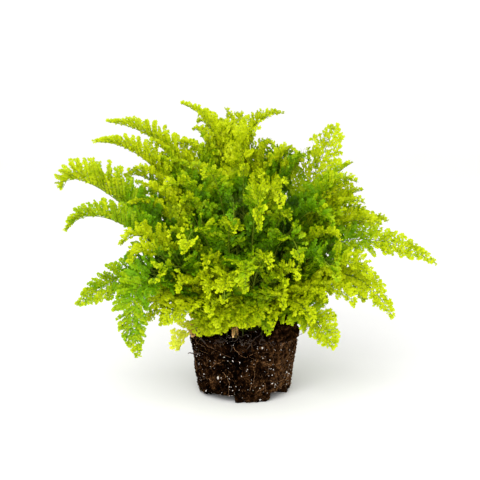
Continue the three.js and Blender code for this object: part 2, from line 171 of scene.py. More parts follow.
# The fronds that age at the rim.
OLD_FRONDS = [
    Frond("yellow_frond", 209, (208, 76, 54), (66, 82), roll=-15, leaflet=17, blunt=8, shade="yellow_leaf"),
    Frond("dry_frond_left", 215, (220, 68, 71), (60, 92), roll=-30, leaflet=12, open=0.7, shade="dry_leaf"),
    Frond("dry_frond_front", 258, (259, 61, 75), (55, 88), leaflet=1.5, open=0.15, shade="dry_leaf"),
]

# Young fronds that fill the crown between those of the solids, in the same terms.
CROWN_FILL = [
    Frond("left_gap_high", 172, (172, 124, 224), (93, 239), leaflet=26, tone=0.7),
    Frond("left_gap_middle", 187, (184, 107, 216), (86, 228), leaflet=24, tone=1),
    Frond("left_gap_low", 190, (188, 117, 201), (89, 214), leaflet=24, tone=1),
    Frond("top_gap_left", 155, (155, 58, 271), (34, 287), leaflet=24, tone=0.9),
    Frond("top_gap_middle_left", 135, (135, 61, 287), (33, 294), leaflet=27, tone=0.7),
    Frond("top_gap_middle", 110, (110, 57, 289), (38, 294), leaflet=20, tone=0.6),
    Frond("top_gap_right", 50, (50, 19, 280), (-3, 292), leaflet=24, tone=1),
    Frond("shoulder_high", 30, (30, 33, 258), (13, 272), leaflet=24, tone=1),
    Frond("shoulder_middle", 20, (20, 49, 246), (23, 258), leaflet=24, tone=0.6),
    Frond("shoulder_low", 15, (15, 60, 239), (35, 256), leaflet=24, tone=1),
    Frond("right_gap_high", 345, (345, 112, 220), (93, 232), roll=20, leaflet=24, tone=1),
    Frond("right_gap_middle", 2, (0, 129, 184), (102, 210), roll=20, leaflet=24, tone=0.7),
    Frond("right_gap_low", 354, (352, 138, 181), (107, 202), roll=30, leaflet=24, tone=0.9),
    Frond("right_under", 325, (325, 96, 108), (82, 139), roll=35, leaflet=24, fold=25, tone=0.9),
    Frond("right_under_front", 306, (306, 112, 96), (86, 130), roll=20, leaflet=20, fold=30, tone=1),
    Frond("right_under_edge", 338, (338, 134, 122), (106, 154), roll=40, leaflet=22, fold=25, tone=0.6),
    Frond("left_high_under", 172, (172, 97, 262), (69, 252), leaflet=24, tone=0.6),
    Frond("left_high_low", 176, (176, 95, 247), (67, 241), leaflet=24, tone=0.6),
    Frond("right_low_hanging", 290, (291, 104, 112), (98, 136), leaflet=19, fold=45, tone=0.8),
    Frond("left_front_hanging", 249, (252, 112, 126), (105, 149), leaflet=19, fold=45, tone=1),
    Frond("right_outer_hanging", 309, (309, 123, 119), (111, 138), leaflet=18, fold=40, tone=1),
    Frond("rim_left_young", 250, (253, 90, 91), (85, 113), leaflet=17, fold=40, tone=0.9),
    Frond("right_inner_hanging", 295, (295, 119, 143), (108, 166), leaflet=18, fold=45, tone=0.8),
    Frond("front_diagonal_young", 277, (282, 119, 157), (109, 182), leaflet=18, fold=45, tone=0.7),
    Frond("shoulder_front", 311, (303, 74, 227), (55, 248), leaflet=18, fold=45, tone=0.9),
    Frond("crown_front", 285, (284, 68, 237), (46, 255), leaflet=18, fold=45, tone=0.9),
    Frond("crown_left", 268, (268, 62, 243), (42, 260), leaflet=17, fold=45, tone=0.8),
    Frond("left_middle_hanging", 242, (248, 99, 151), (92, 175), leaflet=19, fold=50, tone=0.9),
    Frond("left_low_hanging", 233, (238, 120, 129), (112, 151), leaflet=19, fold=40, tone=1),
    Frond("left_rim_hanging", 247, (251, 103, 105), (96, 127), leaflet=18, fold=40, tone=0.9),
    Frond("left_side_young", 215, (222, 99, 178), (91, 197), leaflet=19, fold=45, tone=0.9),
    Frond("rim_hanging", 289, (290, 66, 77), (57, 104), leaflet=12, fold=30, tone=0.6),
    Frond("front_left_hanging", 242, (248, 102, 132), (92, 156), leaflet=22, fold=55, tone=1),
    Frond("front_right_hanging", 291, (291, 106, 130), (96, 157), leaflet=20, fold=55, tone=0.7),
    Frond("right_middle_young", 322, (320, 121, 175), (101, 199), leaflet=22, fold=40, tone=0.8),
    Frond("right_crown_young", 302, (296, 98, 197), (71, 218), leaflet=22, fold=50, tone=0.7),
    Frond("left_gap_young", 216, (225, 88, 208), (66, 230), leaflet=22, fold=45, tone=0.8),
    Frond("left_high_end", 172, (172, 105, 251), (75, 242), leaflet=22, tone=0.6),
    Frond("top_left_low", 160, (160, 53, 254), (33, 255), leaflet=24, tone=0.6),
    Frond("left_high_behind", 160, (160, 53, 274), (33, 262), leaflet=24, tone=0.6),
    Frond("left_shoulder", 195, (195, 55, 238), (40, 257), leaflet=22, tone=0.8),
    Frond("left_shoulder_behind", 178, (178, 74, 240), (54, 251), leaflet=24, tone=0.6),
    Frond("left_crest_behind", 179, (179, 118, 232), (86, 245), leaflet=22, tone=1),
    Frond("left_hanging_inner", 220, (220, 122, 96), (106, 142), roll=-30, leaflet=25, fold=25, tone=0.7),
    Frond("left_hanging_front", 224, (224, 113, 92), (89, 128), roll=-25, leaflet=23, fold=25, tone=0.7),
    Frond("right_plume_under", 2, (2, 109, 240), (87, 231), roll=20, leaflet=24, tone=0.6),
    Frond("right_edge_behind", 355, (355, 119, 214), (97, 214), roll=20, leaflet=24, tone=0.9),
    Frond("right_low_under", 332, (332, 134, 112), (120, 150), roll=40, leaflet=22, fold=25, tone=0.8),
    Frond("front_hook", 248, (265, 104, 190), (82, 212), leaflet=22, fold=40, tone=0.8),
    Frond("left_under", 226, (226, 126, 112), (108, 150), roll=-30, leaflet=24, fold=25, tone=1),
    Frond("left_under_edge", 216, (216, 150, 128), (113, 152), roll=-45, leaflet=22, fold=25, tone=0.1),
    Frond("left_under_front", 238, (236, 112, 100), (96, 134), roll=-20, leaflet=24, fold=30, tone=0.8),
]

# A fringe of young fronds that hangs over the front rim, and how high the tip of each is.
RIM_FILL_FROM, RIM_FILL_STEP, RIM_FILL_TURN, RIM_FILL_ROLL = 231, 6.5, 2, 6
RIM_FILL_OUT, RIM_FILL_OUT_VARY = 68, 5
RIM_FILL_BEND_OUT, RIM_FILL_BEND_RISE = 54, 32
RIM_FILL_RISES = [75, 76, 78, 82, 88, 89, 86, 89, 94]

# Young fronds that fill the back, in the same terms as the fronds there.
OUTER_FILL_COUNT, OUTER_FILL_FROM, OUTER_FILL_SWEEP, OUTER_FILL_FIRST = 22, 10, 160, 40
OUTER_VARY, OUTER_TURN, OUTER_ROLL = 0.1, 5, 25
OUTER_TONE, OUTER_TONE_VARY = 0.6, 0.15
OUTER_TIERS = [
    ((62, 232), (40, 254), 24),
    ((112, 206), (88, 230), 26),
    ((132, 150), (106, 180), 27),
    ((104, 84), (82, 116), 24),
]
YOUNG_FOOT = 27  # how far from the middle the young fronds leave the soil
YOUNG_IN_PIECE = 8

# Hollows of the crown that open to the front: the deep end (x, y, z) of each and its radius. No leaf grows
# in one.
HOLLOWS = [
    ((10, -35, 127), 9),
    ((41, -55, 181), 6),
    ((-9, -38, 158), 6),
    ((-4, -42, 195), 7),
    ((-7, -42, 211), 7),
    ((-3, -45, 227), 7),
    ((-47, -60, 191), 6),
    ((-65, -62, 153), 8),
    ((-81, -60, 155), 7),
    ((49, -35, 205), 6),
    ((38, -35, 217), 5),
    ((32, 0, 236), 5),
    ((34, -30, 152), 6),
    ((82, -60, 156), 8),
    ((49, -62, 170), 6),
    ((-52, -66, 181), 6),
    ((-44, -40, 227), 4),
    ((-44, -50, 215), 4),
    ((-88, -72, 142), 6),
    ((-18, -72, 122), 5),
    ((62, 150, 226), 5),
    ((70, 150, 233), 4),
    ((-92, 100, 206), 3),
    ((-108, 60, 204), 2.5),
    ((-80, 100, 200), 2.5),
    ((-99, 60, 196), 2.5),
]
HOLLOW_WAY = np.array([0, -0.982, 0.19])  # towards the camera
HOLLOW_SHADE = 0.4
HOLLOW_SHADE_REACH = 1.9  # in radii, how far from the middle of a hollow the leaves behind it are shaded

DRAW_STEP, TRAIT_STEP = 0.6180339887, 0.7548776662  # shares that spread a row of draws evenly


def draw(thing, trait):
    """An even, repeatable draw from -1 to 1 for one numbered trait of one thing, as in the solids."""
    return 2 * ((thing * DRAW_STEP + trait * TRAIT_STEP) % 1) - 1


def polar(azimuth, out, up):
    """The point that lies so far out and up at an azimuth."""
    a = math.radians(azimuth)
    return np.array([out * math.cos(a), out * math.sin(a), up])


def mound_height(out):
    """How high the top of the soil is, so far from its middle."""
    share = np.minimum(np.asarray(out, float) / RIM_RADIUS, 1)
    return RIM_HEIGHT + MOUND * (1 - share * share)


def back_fronds():
    """The hidden back, one frond after another by the golden angle in three tiers."""
    fronds = []
    for k in range(BACK_COUNT):
        tip, bend, leaflet = BACK_TIERS[k % len(BACK_TIERS)]
        stem = BACK_FROM + (k * GOLDEN_ANGLE) % BACK_SWEEP
        wider, taller = (1 + BACK_VARY * draw(k, trait) for trait in (2, 3))
        fronds.append(
            Frond(
                f"back_{k + 1}",
                stem,
                (stem + BACK_TURN * draw(k, 1), tip[0] * wider, tip[1] * taller),
                (bend[0] * wider, bend[1] * taller),
                roll=BACK_ROLL * draw(k, 4),
                leaflet=leaflet,
                tone=BACK_TONE + BACK_TONE_VARY * draw(k, 5),
            )
        )
    return fronds


def rim_frond(k, rise):
    """One young frond of the fringe over the front rim."""
    azimuth = RIM_FILL_FROM + RIM_FILL_STEP * k + RIM_FILL_TURN * draw(k, 7)
    tip = (azimuth, RIM_FILL_OUT + RIM_FILL_OUT_VARY * draw(k, 9), rise)
    bend = (RIM_FILL_BEND_OUT, rise + RIM_FILL_BEND_RISE)
    roll = RIM_FILL_ROLL * draw(k, 1)
    return Frond(f"rim_{k + 1}", azimuth, tip, bend, roll=roll, leaflet=17, fold=30, tone=0.75, blunt=8)


def outer_frond(k):
    """One young frond of the back."""
    tip, bend, leaflet = OUTER_TIERS[k % len(OUTER_TIERS)]
    stem = OUTER_FILL_FROM + (k * GOLDEN_ANGLE + OUTER_FILL_FIRST) % OUTER_FILL_SWEEP
    wider, taller = (1 + OUTER_VARY * draw(k, trait) for trait in (12, 13))
    tip = (stem + OUTER_TURN * draw(k, 11), tip[0] * wider, tip[1] * taller)
    bend = (bend[0] * wider, bend[1] * taller)
    tone, roll = OUTER_TONE + OUTER_TONE_VARY * draw(k, 15), OUTER_ROLL * draw(k, 14)
    return Frond(f"outer_{k + 1}", stem, tip, bend, roll=roll, leaflet=leaflet, fold=40, tone=tone)


def young_fronds():
    """Those placed one by one, a fringe that hangs over the front rim, and a fuller back."""
    fringe = [rim_frond(k, rise) for k, rise in enumerate(RIM_FILL_RISES)]
    return CROWN_FILL + fringe + [outer_frond(k) for k in range(OUTER_FILL_COUNT)]


def feet(fronds):
    """Where each frond leaves the soil: upright ones from the middle of the crown, low ones from its edge."""
    lean = [math.atan2(f.bend[1] - RIM_HEIGHT, f.bend[0]) for f in fronds]
    order = sorted(range(len(fronds)), key=lambda k: -lean[k])
    found = {}
    for rank, k in enumerate(order):
        out = STEM_SPREAD * math.sqrt(rank + 1)
        found[fronds[k].name] = polar(fronds[k].stem, out, float(mound_height(out)))
    return found


BACK_FRONDS, YOUNG_FRONDS = back_fronds(), young_fronds()
FEET = feet(FRONDS + BACK_FRONDS + OLD_FRONDS)
for young in YOUNG_FRONDS:
    FEET[young.name] = polar(young.stem, YOUNG_FOOT, float(mound_height(YOUNG_FOOT)))


# ---- shader expressions

MIX_A, MIX_B, MIX_RESULT = 6, 7, 2  # the colour sockets of a Mix node
PLAIN_SHINE = 0.5  # the shader's own specular level


class Look:
    """One material's node tree, and the one way to add a node to it."""

    def __init__(self, name):
        self.material = bpy.data.materials.new(name)
        self.material.use_nodes = True
        self.tree = self.material.node_tree
        self.tree.nodes.clear()

    def node(self, kind, settings=None, inputs=None):
        """Adds a node of a type, with its settings set first and then the values or links of its sockets."""
        made = self.tree.nodes.new("ShaderNode" + kind)
        for key, value in (settings or {}).items():
            if key == "stops":
                stops = made.color_ramp.elements
                while len(stops) < len(value):
                    stops.new(0.5)
                for stop, (place, colour) in zip(stops, value):
                    stop.position = place
                    stop.color = (*colour, 1)
            else:
                setattr(made, key, value)
        for key, value in (inputs or {}).items():
            socket = made.inputs[key]
            if isinstance(value, Value):
                self.tree.links.new(value.socket, socket)
            else:
                socket.default_value = value
        return made

    def value(self, kind, settings=None, inputs=None, output=0):
        """Adds a node and hands on one of its outputs."""
        return Value(self, self.node(kind, settings, inputs).outputs[output])

    def place(self):
        """Where a point of the piece is, in metres."""
        return self.value("TexCoord", output="Object")

    def grain(self, scale, detail=4, roughness=0.6, distortion=0.0):
        """Cloudy noise from 0 to 1; scale is in features to a metre."""
        where = {"Vector": self.place(), "Scale": scale}
        how = {"Detail": detail, "Roughness": roughness, "Distortion": distortion}
        return self.value("TexNoise", None, {**where, **how}, "Fac")

    def cells(self, scale):
        """The way to the nearest of scattered points, as a share of a cell."""
        return self.value("TexVoronoi", None, {"Vector": self.place(), "Scale": scale}, "Distance")

    def attribute(self, name):
        """What the mesh holds under a name at each point."""
        return self.value("Attribute", {"attribute_name": name}, output="Fac")

    def ramp(self, factor, stops):
        """A colour that runs from stop to stop, each (place, colour)."""
        return self.value("ValToRGB", {"stops": stops}, {"Fac": factor}, "Color")

    def mix(self, factor, a, b):
        """One colour blended into another."""
        return self.value("Mix", {"data_type": "RGBA"}, {"Factor": factor, MIX_A: a, MIX_B: b}, MIX_RESULT)

    def bump(self, height, strength, distance):
        """A relief, by the share of it that shows and how many metres it stands out."""
        inputs = {"Height": height, "Strength": strength, "Distance": distance}
        return self.value("Bump", None, inputs, "Normal")

    def skin(self, colour, roughness, normal, shine=PLAIN_SHINE):
        """The shader of a surface that no light comes through."""
        inputs = {"Base Color": colour, "Roughness": roughness, "Normal": normal, "Specular IOR Level": shine}
        return self.value("BsdfPrincipled", None, inputs)

    def finish(self, shader):
        """Puts the shader on the surface and hands on the material."""
        self.node("OutputMaterial", None, {"Surface": shader})
        return self.material


class Value:
    """A socket that can be reckoned with: an expression on values adds its Math nodes."""

    def __init__(self, look, socket):
        self.look, self.socket = look, socket

    def _maths(self, operation, a, b):
        return self.look.value("Math", {"operation": operation}, {0: a, 1: b})

    def __add__(self, other):
        return self._maths("ADD", self, other)

    def __sub__(self, other):
        return self._maths("SUBTRACT", self, other)

    def __mul__(self, other):
        return self._maths("MULTIPLY", self, other)

    def above(self, edge, soft):
        """0 below an edge and 1 past it, with a soft step."""
        inputs = {"Value": self, "From Min": edge - soft, "From Max": edge + soft}
        return self.look.value("MapRange", {"clamp": True}, inputs)


# ---- materials. Every roughness wanders this far about its mean, and grains are in features to a metre.

ROUGH_SPAN, ROUGH_HALF = 0.2, 0.1
PLANT_SHINE = 0.15
TONE_CLOUD = 0.3  # how far the cloudy grain shifts the tone of leaves and stalks


def leaf_look(name, ages, through, share, roughness):
    """A thin leaf, in colours from old to young, with a grain of veins and light coming through it."""
    look = Look(name)
    tone = look.attribute("tone") + (look.grain(120, 3) - 0.5) * TONE_CLOUD
    vein = look.grain(1400, 2, 0.5, 0.6)
    colour = look.ramp(tone, list(zip((0.0, 0.5, 1.0), ages)))
    relief = look.bump(vein, 0.35, 0.0004)
    shader = look.skin(colour, vein * ROUGH_SPAN + (roughness - ROUGH_HALF), relief, PLANT_SHINE)
    passing = look.value("BsdfTranslucent", None, {"Color": (*through, 1)})
    return look.finish(look.value("MixShader", None, {0: share, 1: shader, 2: passing}))


def stalk_look(name, foot, tip):
    """A stalk, root or fibre, in one colour at tone 0 and another at tone 1."""
    look = Look(name)
    tone = look.attribute("tone") + (look.grain(500, 2) - 0.5) * TONE_CLOUD
    fibre = look.grain(2200, 2)
    colour = look.ramp(tone, [(0.0, foot), (1.0, tip)])
    relief = look.bump(fibre, 0.3, 0.0003)
    return look.finish(look.skin(colour, fibre * ROUGH_SPAN + 0.5, relief, PLANT_SHINE))


SOIL_FIBRE, SOIL_PATCH, SOIL_CRUMB, SOIL_ROUGH = 650, 45, 420, 1500  # features to a metre
MAT_FROM, MAT_SOFT, MAT_RAGGED = 0.052, 0.014, 0.06  # the matted side: its edge, how soft and how ragged
MAT_COVER = 0.9


def soil_look(dark, brown, rooty):
    """Moist peat: near black crumbs, brown fibre between them, and paler brown where roots have matted."""
    look = Look("soil")
    crumb = look.cells(SOIL_CRUMB)
    fibre = look.grain(SOIL_FIBRE, 5, 0.78, 1.2)
    patch = look.grain(SOIL_PATCH, 3, 0.6)
    # The mesh's tone: painted shade that darkens the gaps between crumbs and browns their tops.
    painted_crumb_shade = look.attribute("tone")
    east = look.value("SeparateXYZ", None, {0: look.place()}, "X")
    matted = (east + patch * MAT_RAGGED).above(MAT_FROM, MAT_SOFT)
    bare_stops = [(0.68, dark), (0.79, brown), (0.92, rooty)]
    bare = look.ramp(fibre * 0.9 + patch * 0.3 + painted_crumb_shade * 0.2, bare_stops)
    mat = look.ramp(fibre * 0.9 + painted_crumb_shade * 0.35, [(0.47, dark), (0.62, brown), (0.84, rooty)])
    rough = look.grain(SOIL_ROUGH, 4, 0.7)
    relief = look.bump(rough * 0.5 - crumb * 0.8, 0.9, 0.0012)
    colour = look.mix(matted * MAT_COVER, bare, mat)
    return look.finish(look.skin(colour, rough * ROUGH_SPAN + 0.75, relief, 0))


def plain_look(name, low, high, roughness, scale=700, height=0.0003):
    """A matt natural surface that wanders between two colours."""
    look = Look(name)
    cloud = look.grain(scale, 4, 0.65)
    colour = look.ramp(cloud, [(0.3, low), (0.7, high)])
    relief = look.bump(look.grain(scale * 3, 3), 0.5, height)
    return look.finish(look.skin(colour, cloud * ROUGH_SPAN + (roughness - ROUGH_HALF), relief))


# ---- meshes


class Piece:
    """Triangles gathered from many small closed bodies, in millimetres, that become one object."""

    def __init__(self):
        self.points, self.faces, self.count = [], [], 0
        self.slots, self.tones, self.smooth = [], [], []

    def add(self, points, faces, slot=0, tone=0.5, smooth=True):
        """Adds a body in one material, with a tone for all of it or for each point."""
        points = np.asarray(points, float).reshape(-1, 3)
        faces = np.asarray(faces, int).reshape(-1, 3)
        self.points.append(points)
        self.faces.append(faces + self.count)
        self.slots.append(np.full(len(faces), slot))
        self.smooth.append(np.full(len(faces), smooth))
        self.tones.append(np.broadcast_to(np.asarray(tone, float), len(points)))
        self.count += len(points)

    def build(self, name, materials, slot):
        """Makes the object, which rides on the root and has nothing below the table."""
        points = np.concatenate(self.points) * MM
        points[:, 2] = np.maximum(points[:, 2], 0)
        faces = np.concatenate(self.faces)
        mesh = bpy.data.meshes.new(name)
        mesh.vertices.add(len(points))
        mesh.vertices.foreach_set("co", points.ravel())
        mesh.loops.add(3 * len(faces))
        mesh.loops.foreach_set("vertex_index", faces.ravel())
        mesh.polygons.add(len(faces))
        mesh.polygons.foreach_set("loop_start", np.arange(0, 3 * len(faces), 3))
        mesh.update(calc_edges=True)
        for material in materials:
            mesh.materials.append(material)
        mesh.polygons.foreach_set("material_index", np.concatenate(self.slots))
        mesh.polygons.foreach_set("use_smooth", np.concatenate(self.smooth))
        tone = mesh.attributes.new("tone", "FLOAT", "POINT")
        tone.data.foreach_set("value", np.concatenate(self.tones))
        mesh.validate()
        made = bpy.data.objects.new(name, mesh)
        bpy.context.scene.collection.objects.link(made)
        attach(made, "root")
        return made


def unit(v):
    return v / np.maximum(np.linalg.norm(v, axis=-1, keepdims=True), 1e-9)


NEAR_UPRIGHT = 0.8  # a line that starts steeper than this share of upright gets its sides from another axis


def tube(points, radii, sides=6):
    """A closed tube round a line of points."""
    points, radii = np.asarray(points, float), np.asarray(radii, float)
    ahead = unit(np.gradient(points, axis=0))
    helper = np.array([0, 0, 1.0]) if abs(ahead[0][2]) < NEAR_UPRIGHT else np.array([1.0, 0, 0])
    across = unit(np.cross(ahead, helper))
    up = np.cross(across, ahead)
    turn = np.linspace(0, 2 * math.pi, sides, endpoint=False)
    ring = across[:, None] * np.cos(turn)[None, :, None] + up[:, None] * np.sin(turn)[None, :, None]
    skin = points[:, None] + ring * radii[:, None, None]
    corners = np.concatenate([skin.reshape(-1, 3), points[[0, -1]]])
    faces, n = [], len(points)
    for k in range(n - 1):
        for s in range(sides):
            a, b = k * sides + s, k * sides + (s + 1) % sides
            faces += [(a, a + sides, b), (b, a + sides, b + sides)]
    for s in range(sides):
        faces += [(n * sides, s, (s + 1) % sides)]
        faces += [(n * sides + 1, (n - 1) * sides + (s + 1) % sides, (n - 1) * sides + s)]
    return corners, faces


# ---- fronds

LEAF_SLOT, STALK_SLOT = 0, 1

# Half the edge of one small leaf, a fan on a short stalk with rounded lobes, as distances along and across.
LEAF_EDGE = [(0.0, 0.08), (0.46, 0.46), (0.96, 0.38)]
LEAF_TIP = (0.86, 0.0, 0.03)
LEAF_OVER, LEAF_UNDER = (0.55, 0, 0.07), (0.55, 0, 0.01)
EDGE_WAVE, EDGE_WAVES = 0.05, 9


def leaf_shape():
    """The fan as a closed cushion: its edge, one point above its middle and one below."""
    half = [(x, y, EDGE_WAVE * math.sin(EDGE_WAVES * x)) for x, y in LEAF_EDGE]
    edge = half + [LEAF_TIP] + [(x, -y, -z) for x, y, z in reversed(half)]
    points = np.array(edge + [LEAF_OVER, LEAF_UNDER])
    n = len(edge)
    faces = []
    for k in range(n):
        after = (k + 1) % n
        faces += [(n, after, k), (n + 1, k, after)]
    return points, np.array(faces)


LEAF_POINTS, LEAF_FACES = leaf_shape()

# How parts vary. A spread is a standard deviation, and a pair is the least and the most of an even draw.
TURN = (0, 6.3)  # where a wave starts, in radians
STALK_SECTIONS, STALK_SIDES, STALK_TAPER = 26, 6, 0.7
STALK_TONE, STALK_TONE_RISE = 0.1, 0.8  # its tone at its foot, and how much more at its tip
LEAST_RIBS, LAST_RIB, RIB_SHIFT = 4, 0.995, (-0.2, 0.2)
ROW_STARTS = {1: 0.3, -1: 0.8}  # in steps, so that the ribs of the two rows alternate
RIPPLE, RIPPLE_STEP, RIPPLE_SPREAD = 0.7, 1.15, 0.35  # the wave in how far ribs are folded up
SWEEP, SWEEP_RISE, SWEEP_SPREAD = 10, 36, 0.22  # how far ribs lean to the tip of the frond
RIB_SHORTER = (-0.04, 0.18)  # how far a rib falls short of its frond's outline
BOW, BOW_RIPPLE, BOW_SPREAD = -0.04, 0.16, 0.12  # how far a rib bows up, also with the wave
RIB_OUT = 0.5  # how far from the middle of the stalk ribs start
RIB_PLACES, RIB_WIDTHS = np.array([0, 0.5, 0.94]), np.array([0.15, 0.1, 0.05])
RIB_TONE, RIB_TONE_RISE = 0.2, 0.7  # its tone, and how much more with that of the frond
LEAF_LEAST, LEAF_MORE, LEAF_FULL = 0.66, 0.34, 1.6  # how leaf size falls to the tip of the frond
LEAF_FIRST, LEAF_SHRINK, LEAF_SIZES = 1.1, 0.25, (0.8, 1.2)  # and along a rib
PAIR_FIRST, PAIR_REST = 0.5, 0.4  # in steps of a rib, what lies before its first pair and past its last
TONE_RISE, TONE_MIDDLE, TONE_SPREAD = 0.1, 0.4, 0.08  # how much younger leaves are along a rib
LEAF_LEAN, LEAN_SPREAD = 34, 14  # how far leaves lean to the end of the rib
TILT_WAVE, TILT_STEP, TILT_SPREAD = 1.8, 6, 0.85  # how far leaves tilt out of the blade
END_PLACE, END_SIZE, END_TONE = np.array([0.93]), 0.8, 0.05  # the leaf at the end of a rib
TIP_PLACE, TIP_SIZE, TIP_TWIST, TIP_TONE = np.array([0.985]), 0.6, 0.4, 0.25  # and of a frond
TWIST, BROAD, LEAF_TONE_SPREAD = 0.75, (0.85, 1.25), 0.045
CUP, CUP_FROM, CUP_ACROSS = (-0.45, 0.3), 0.2, 0.3  # how far a leaf is cupped along and across

# The crown as a ball, and how painted shade darkens leaves deep in it: at its deepest, in all, and where it
# changes nothing.
CROWN_MIDDLE = np.array([0, 0, 165.0])
CROWN_REACH = np.array([150, 120, 120.0])
DEEPEST, DEPTH_SHADE, DEPTH_EVEN = 0.25, 1.15, 0.73

ARCH_STEPS = 300
BLADE_FOOT, BLADE_RISE, BLADE_LEAST = 0.5, 0.4, 0.1


class Spine:
    """The arch of a frond, read at any share of its length."""

    def __init__(self, frond):
        foot = FEET[frond.name]
        out, up = frond.bend
        rise = foot + RISE_OUT * (polar(frond.stem, out, foot[2]) - foot)
        rise[2] += RISE_UP * (up - foot[2])
        bend = polar((frond.stem + frond.tip[0]) / 2, out, up)
        knots = [foot, rise, bend, polar(*frond.tip)]
        t = np.linspace(0, 1, ARCH_STEPS)[:, None]
        weights = ((1 - t) ** 3, 3 * t * (1 - t) ** 2, 3 * t * t * (1 - t), t**3)
        self.points = sum(w * k for w, k in zip(weights, knots))
        steps = np.linalg.norm(np.diff(self.points, axis=0), axis=1)
        self.along = np.concatenate([[0], np.cumsum(steps)])
        self.length = self.along[-1]
        self.ways = unit(np.gradient(self.points, axis=0))
        self.level = polar(frond.stem + 90, 1, 0)
        self.roll = math.radians(frond.roll)

    def at(self, share):
        """Point, way ahead, left side and upper side at each share."""
        here = np.asarray(share, float) * self.length
        point, ahead = (
            np.stack([np.interp(here, self.along, rows[:, k]) for k in range(3)], -1)
            for rows in (self.points, self.ways)
        )
        ahead = unit(ahead)
        flat = unit(self.level - ahead * (ahead @ self.level)[..., None])
        side = flat * math.cos(self.roll) + np.cross(ahead, flat) * math.sin(self.roll)
        return point, ahead, side, np.cross(ahead, side)


def blade_width(share, blunt):
    """How long ribs are along a frond, as a share of the longest, as in the solids."""
    rise = np.minimum(1, BLADE_FOOT + share / BLADE_RISE)
    return rise * np.maximum(BLADE_LEAST, 1 - share**blunt)


def name_seed(name):
    """A seed that is a frond's own, whatever its place in the tables."""
    return sum(ord(letter) * (k + 7) for k, letter in enumerate(name))


def grow_stalk(spine, settings, piece):
    """Adds the stalk of a frond, from in the soil to its tip."""
    shares = np.linspace(0, 1, STALK_SECTIONS)
    point, ahead, _, over = spine.at(shares)
    radius = settings.stalk_width / MM / 2 * (1 - STALK_TAPER * shares)
    centre = point - over * radius[:, None]
    sunk = centre[0] - ahead[0] * STEM_SUNK
    tone = np.repeat(np.concatenate([[0], STALK_TONE + STALK_TONE_RISE * shares]), STALK_SIDES)
    skin, faces = tube(np.vstack([sunk, centre]), np.concatenate([[radius[0]], radius]), STALK_SIDES)
    piece.add(skin, faces, STALK_SLOT, np.concatenate([tone, [0, 1]]))


def grow_frond(frond, settings, piece):
    """Adds a frond: a stalk, a row of ribs on each side, leaves along every rib and one at the tip."""
    rng = np.random.default_rng(name_seed(frond.name))
    spine = Spine(frond)
    grow_stalk(spine, settings, piece)
    bare = settings.bare_share
    count = max(LEAST_RIBS, round((1 - bare) * spine.length * MM / (settings.rib_step * frond.open)))
    for row, start in ROW_STARTS.items():
        share = (np.arange(count) + start + rng.uniform(*RIB_SHIFT, count)) / count
        share = np.clip(share, 0, LAST_RIB)
        point, ahead, side, over = spine.at(bare + share * (1 - bare))
        ripple = RIPPLE * np.sin(rng.uniform(*TURN) + RIPPLE_STEP * np.arange(count))
        ripple = (ripple + rng.normal(0, RIPPLE_SPREAD, count)) * frond.ruffle
        fold = np.radians(frond.fold + settings.ruffle * ripple)
        sweep = np.radians(SWEEP + SWEEP_RISE * share + settings.ruffle * rng.normal(0, SWEEP_SPREAD, count))
        away = side * (row * np.cos(fold))[:, None] + over * np.sin(fold)[:, None]
        reach = away * np.cos(sweep)[:, None] + ahead * np.sin(sweep)[:, None]
        shorter = 1 - frond.ruffle * rng.uniform(*RIB_SHORTER, count)
        length = frond.leaflet * blade_width(share, frond.blunt) * shorter
        bow = BOW_RIPPLE * ripple + rng.normal(BOW, BOW_SPREAD, count)
        lift = np.cross(ahead, reach) * row
        root = point + side * row * RIB_OUT
        for rib in zip(root, reach, ahead, lift, bow, length, share):
            leaves_on_rib(piece, rng, settings, frond, *rib)
    point, ahead, side, _ = spine.at(TIP_PLACE)
    size = np.array([settings.leaf_size / MM * TIP_SIZE])
    add_leaves(piece, rng, point, ahead, side, size, TIP_TWIST, frond.tone + TIP_TONE)


def build_frond(frond, settings, materials, node):
    """A frond that is a piece of its own, in place of its solid."""
    piece = Piece()
    grow_frond(frond, settings, piece)
    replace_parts(piece.build("leaves_" + frond.name, materials, frond.shade), node)


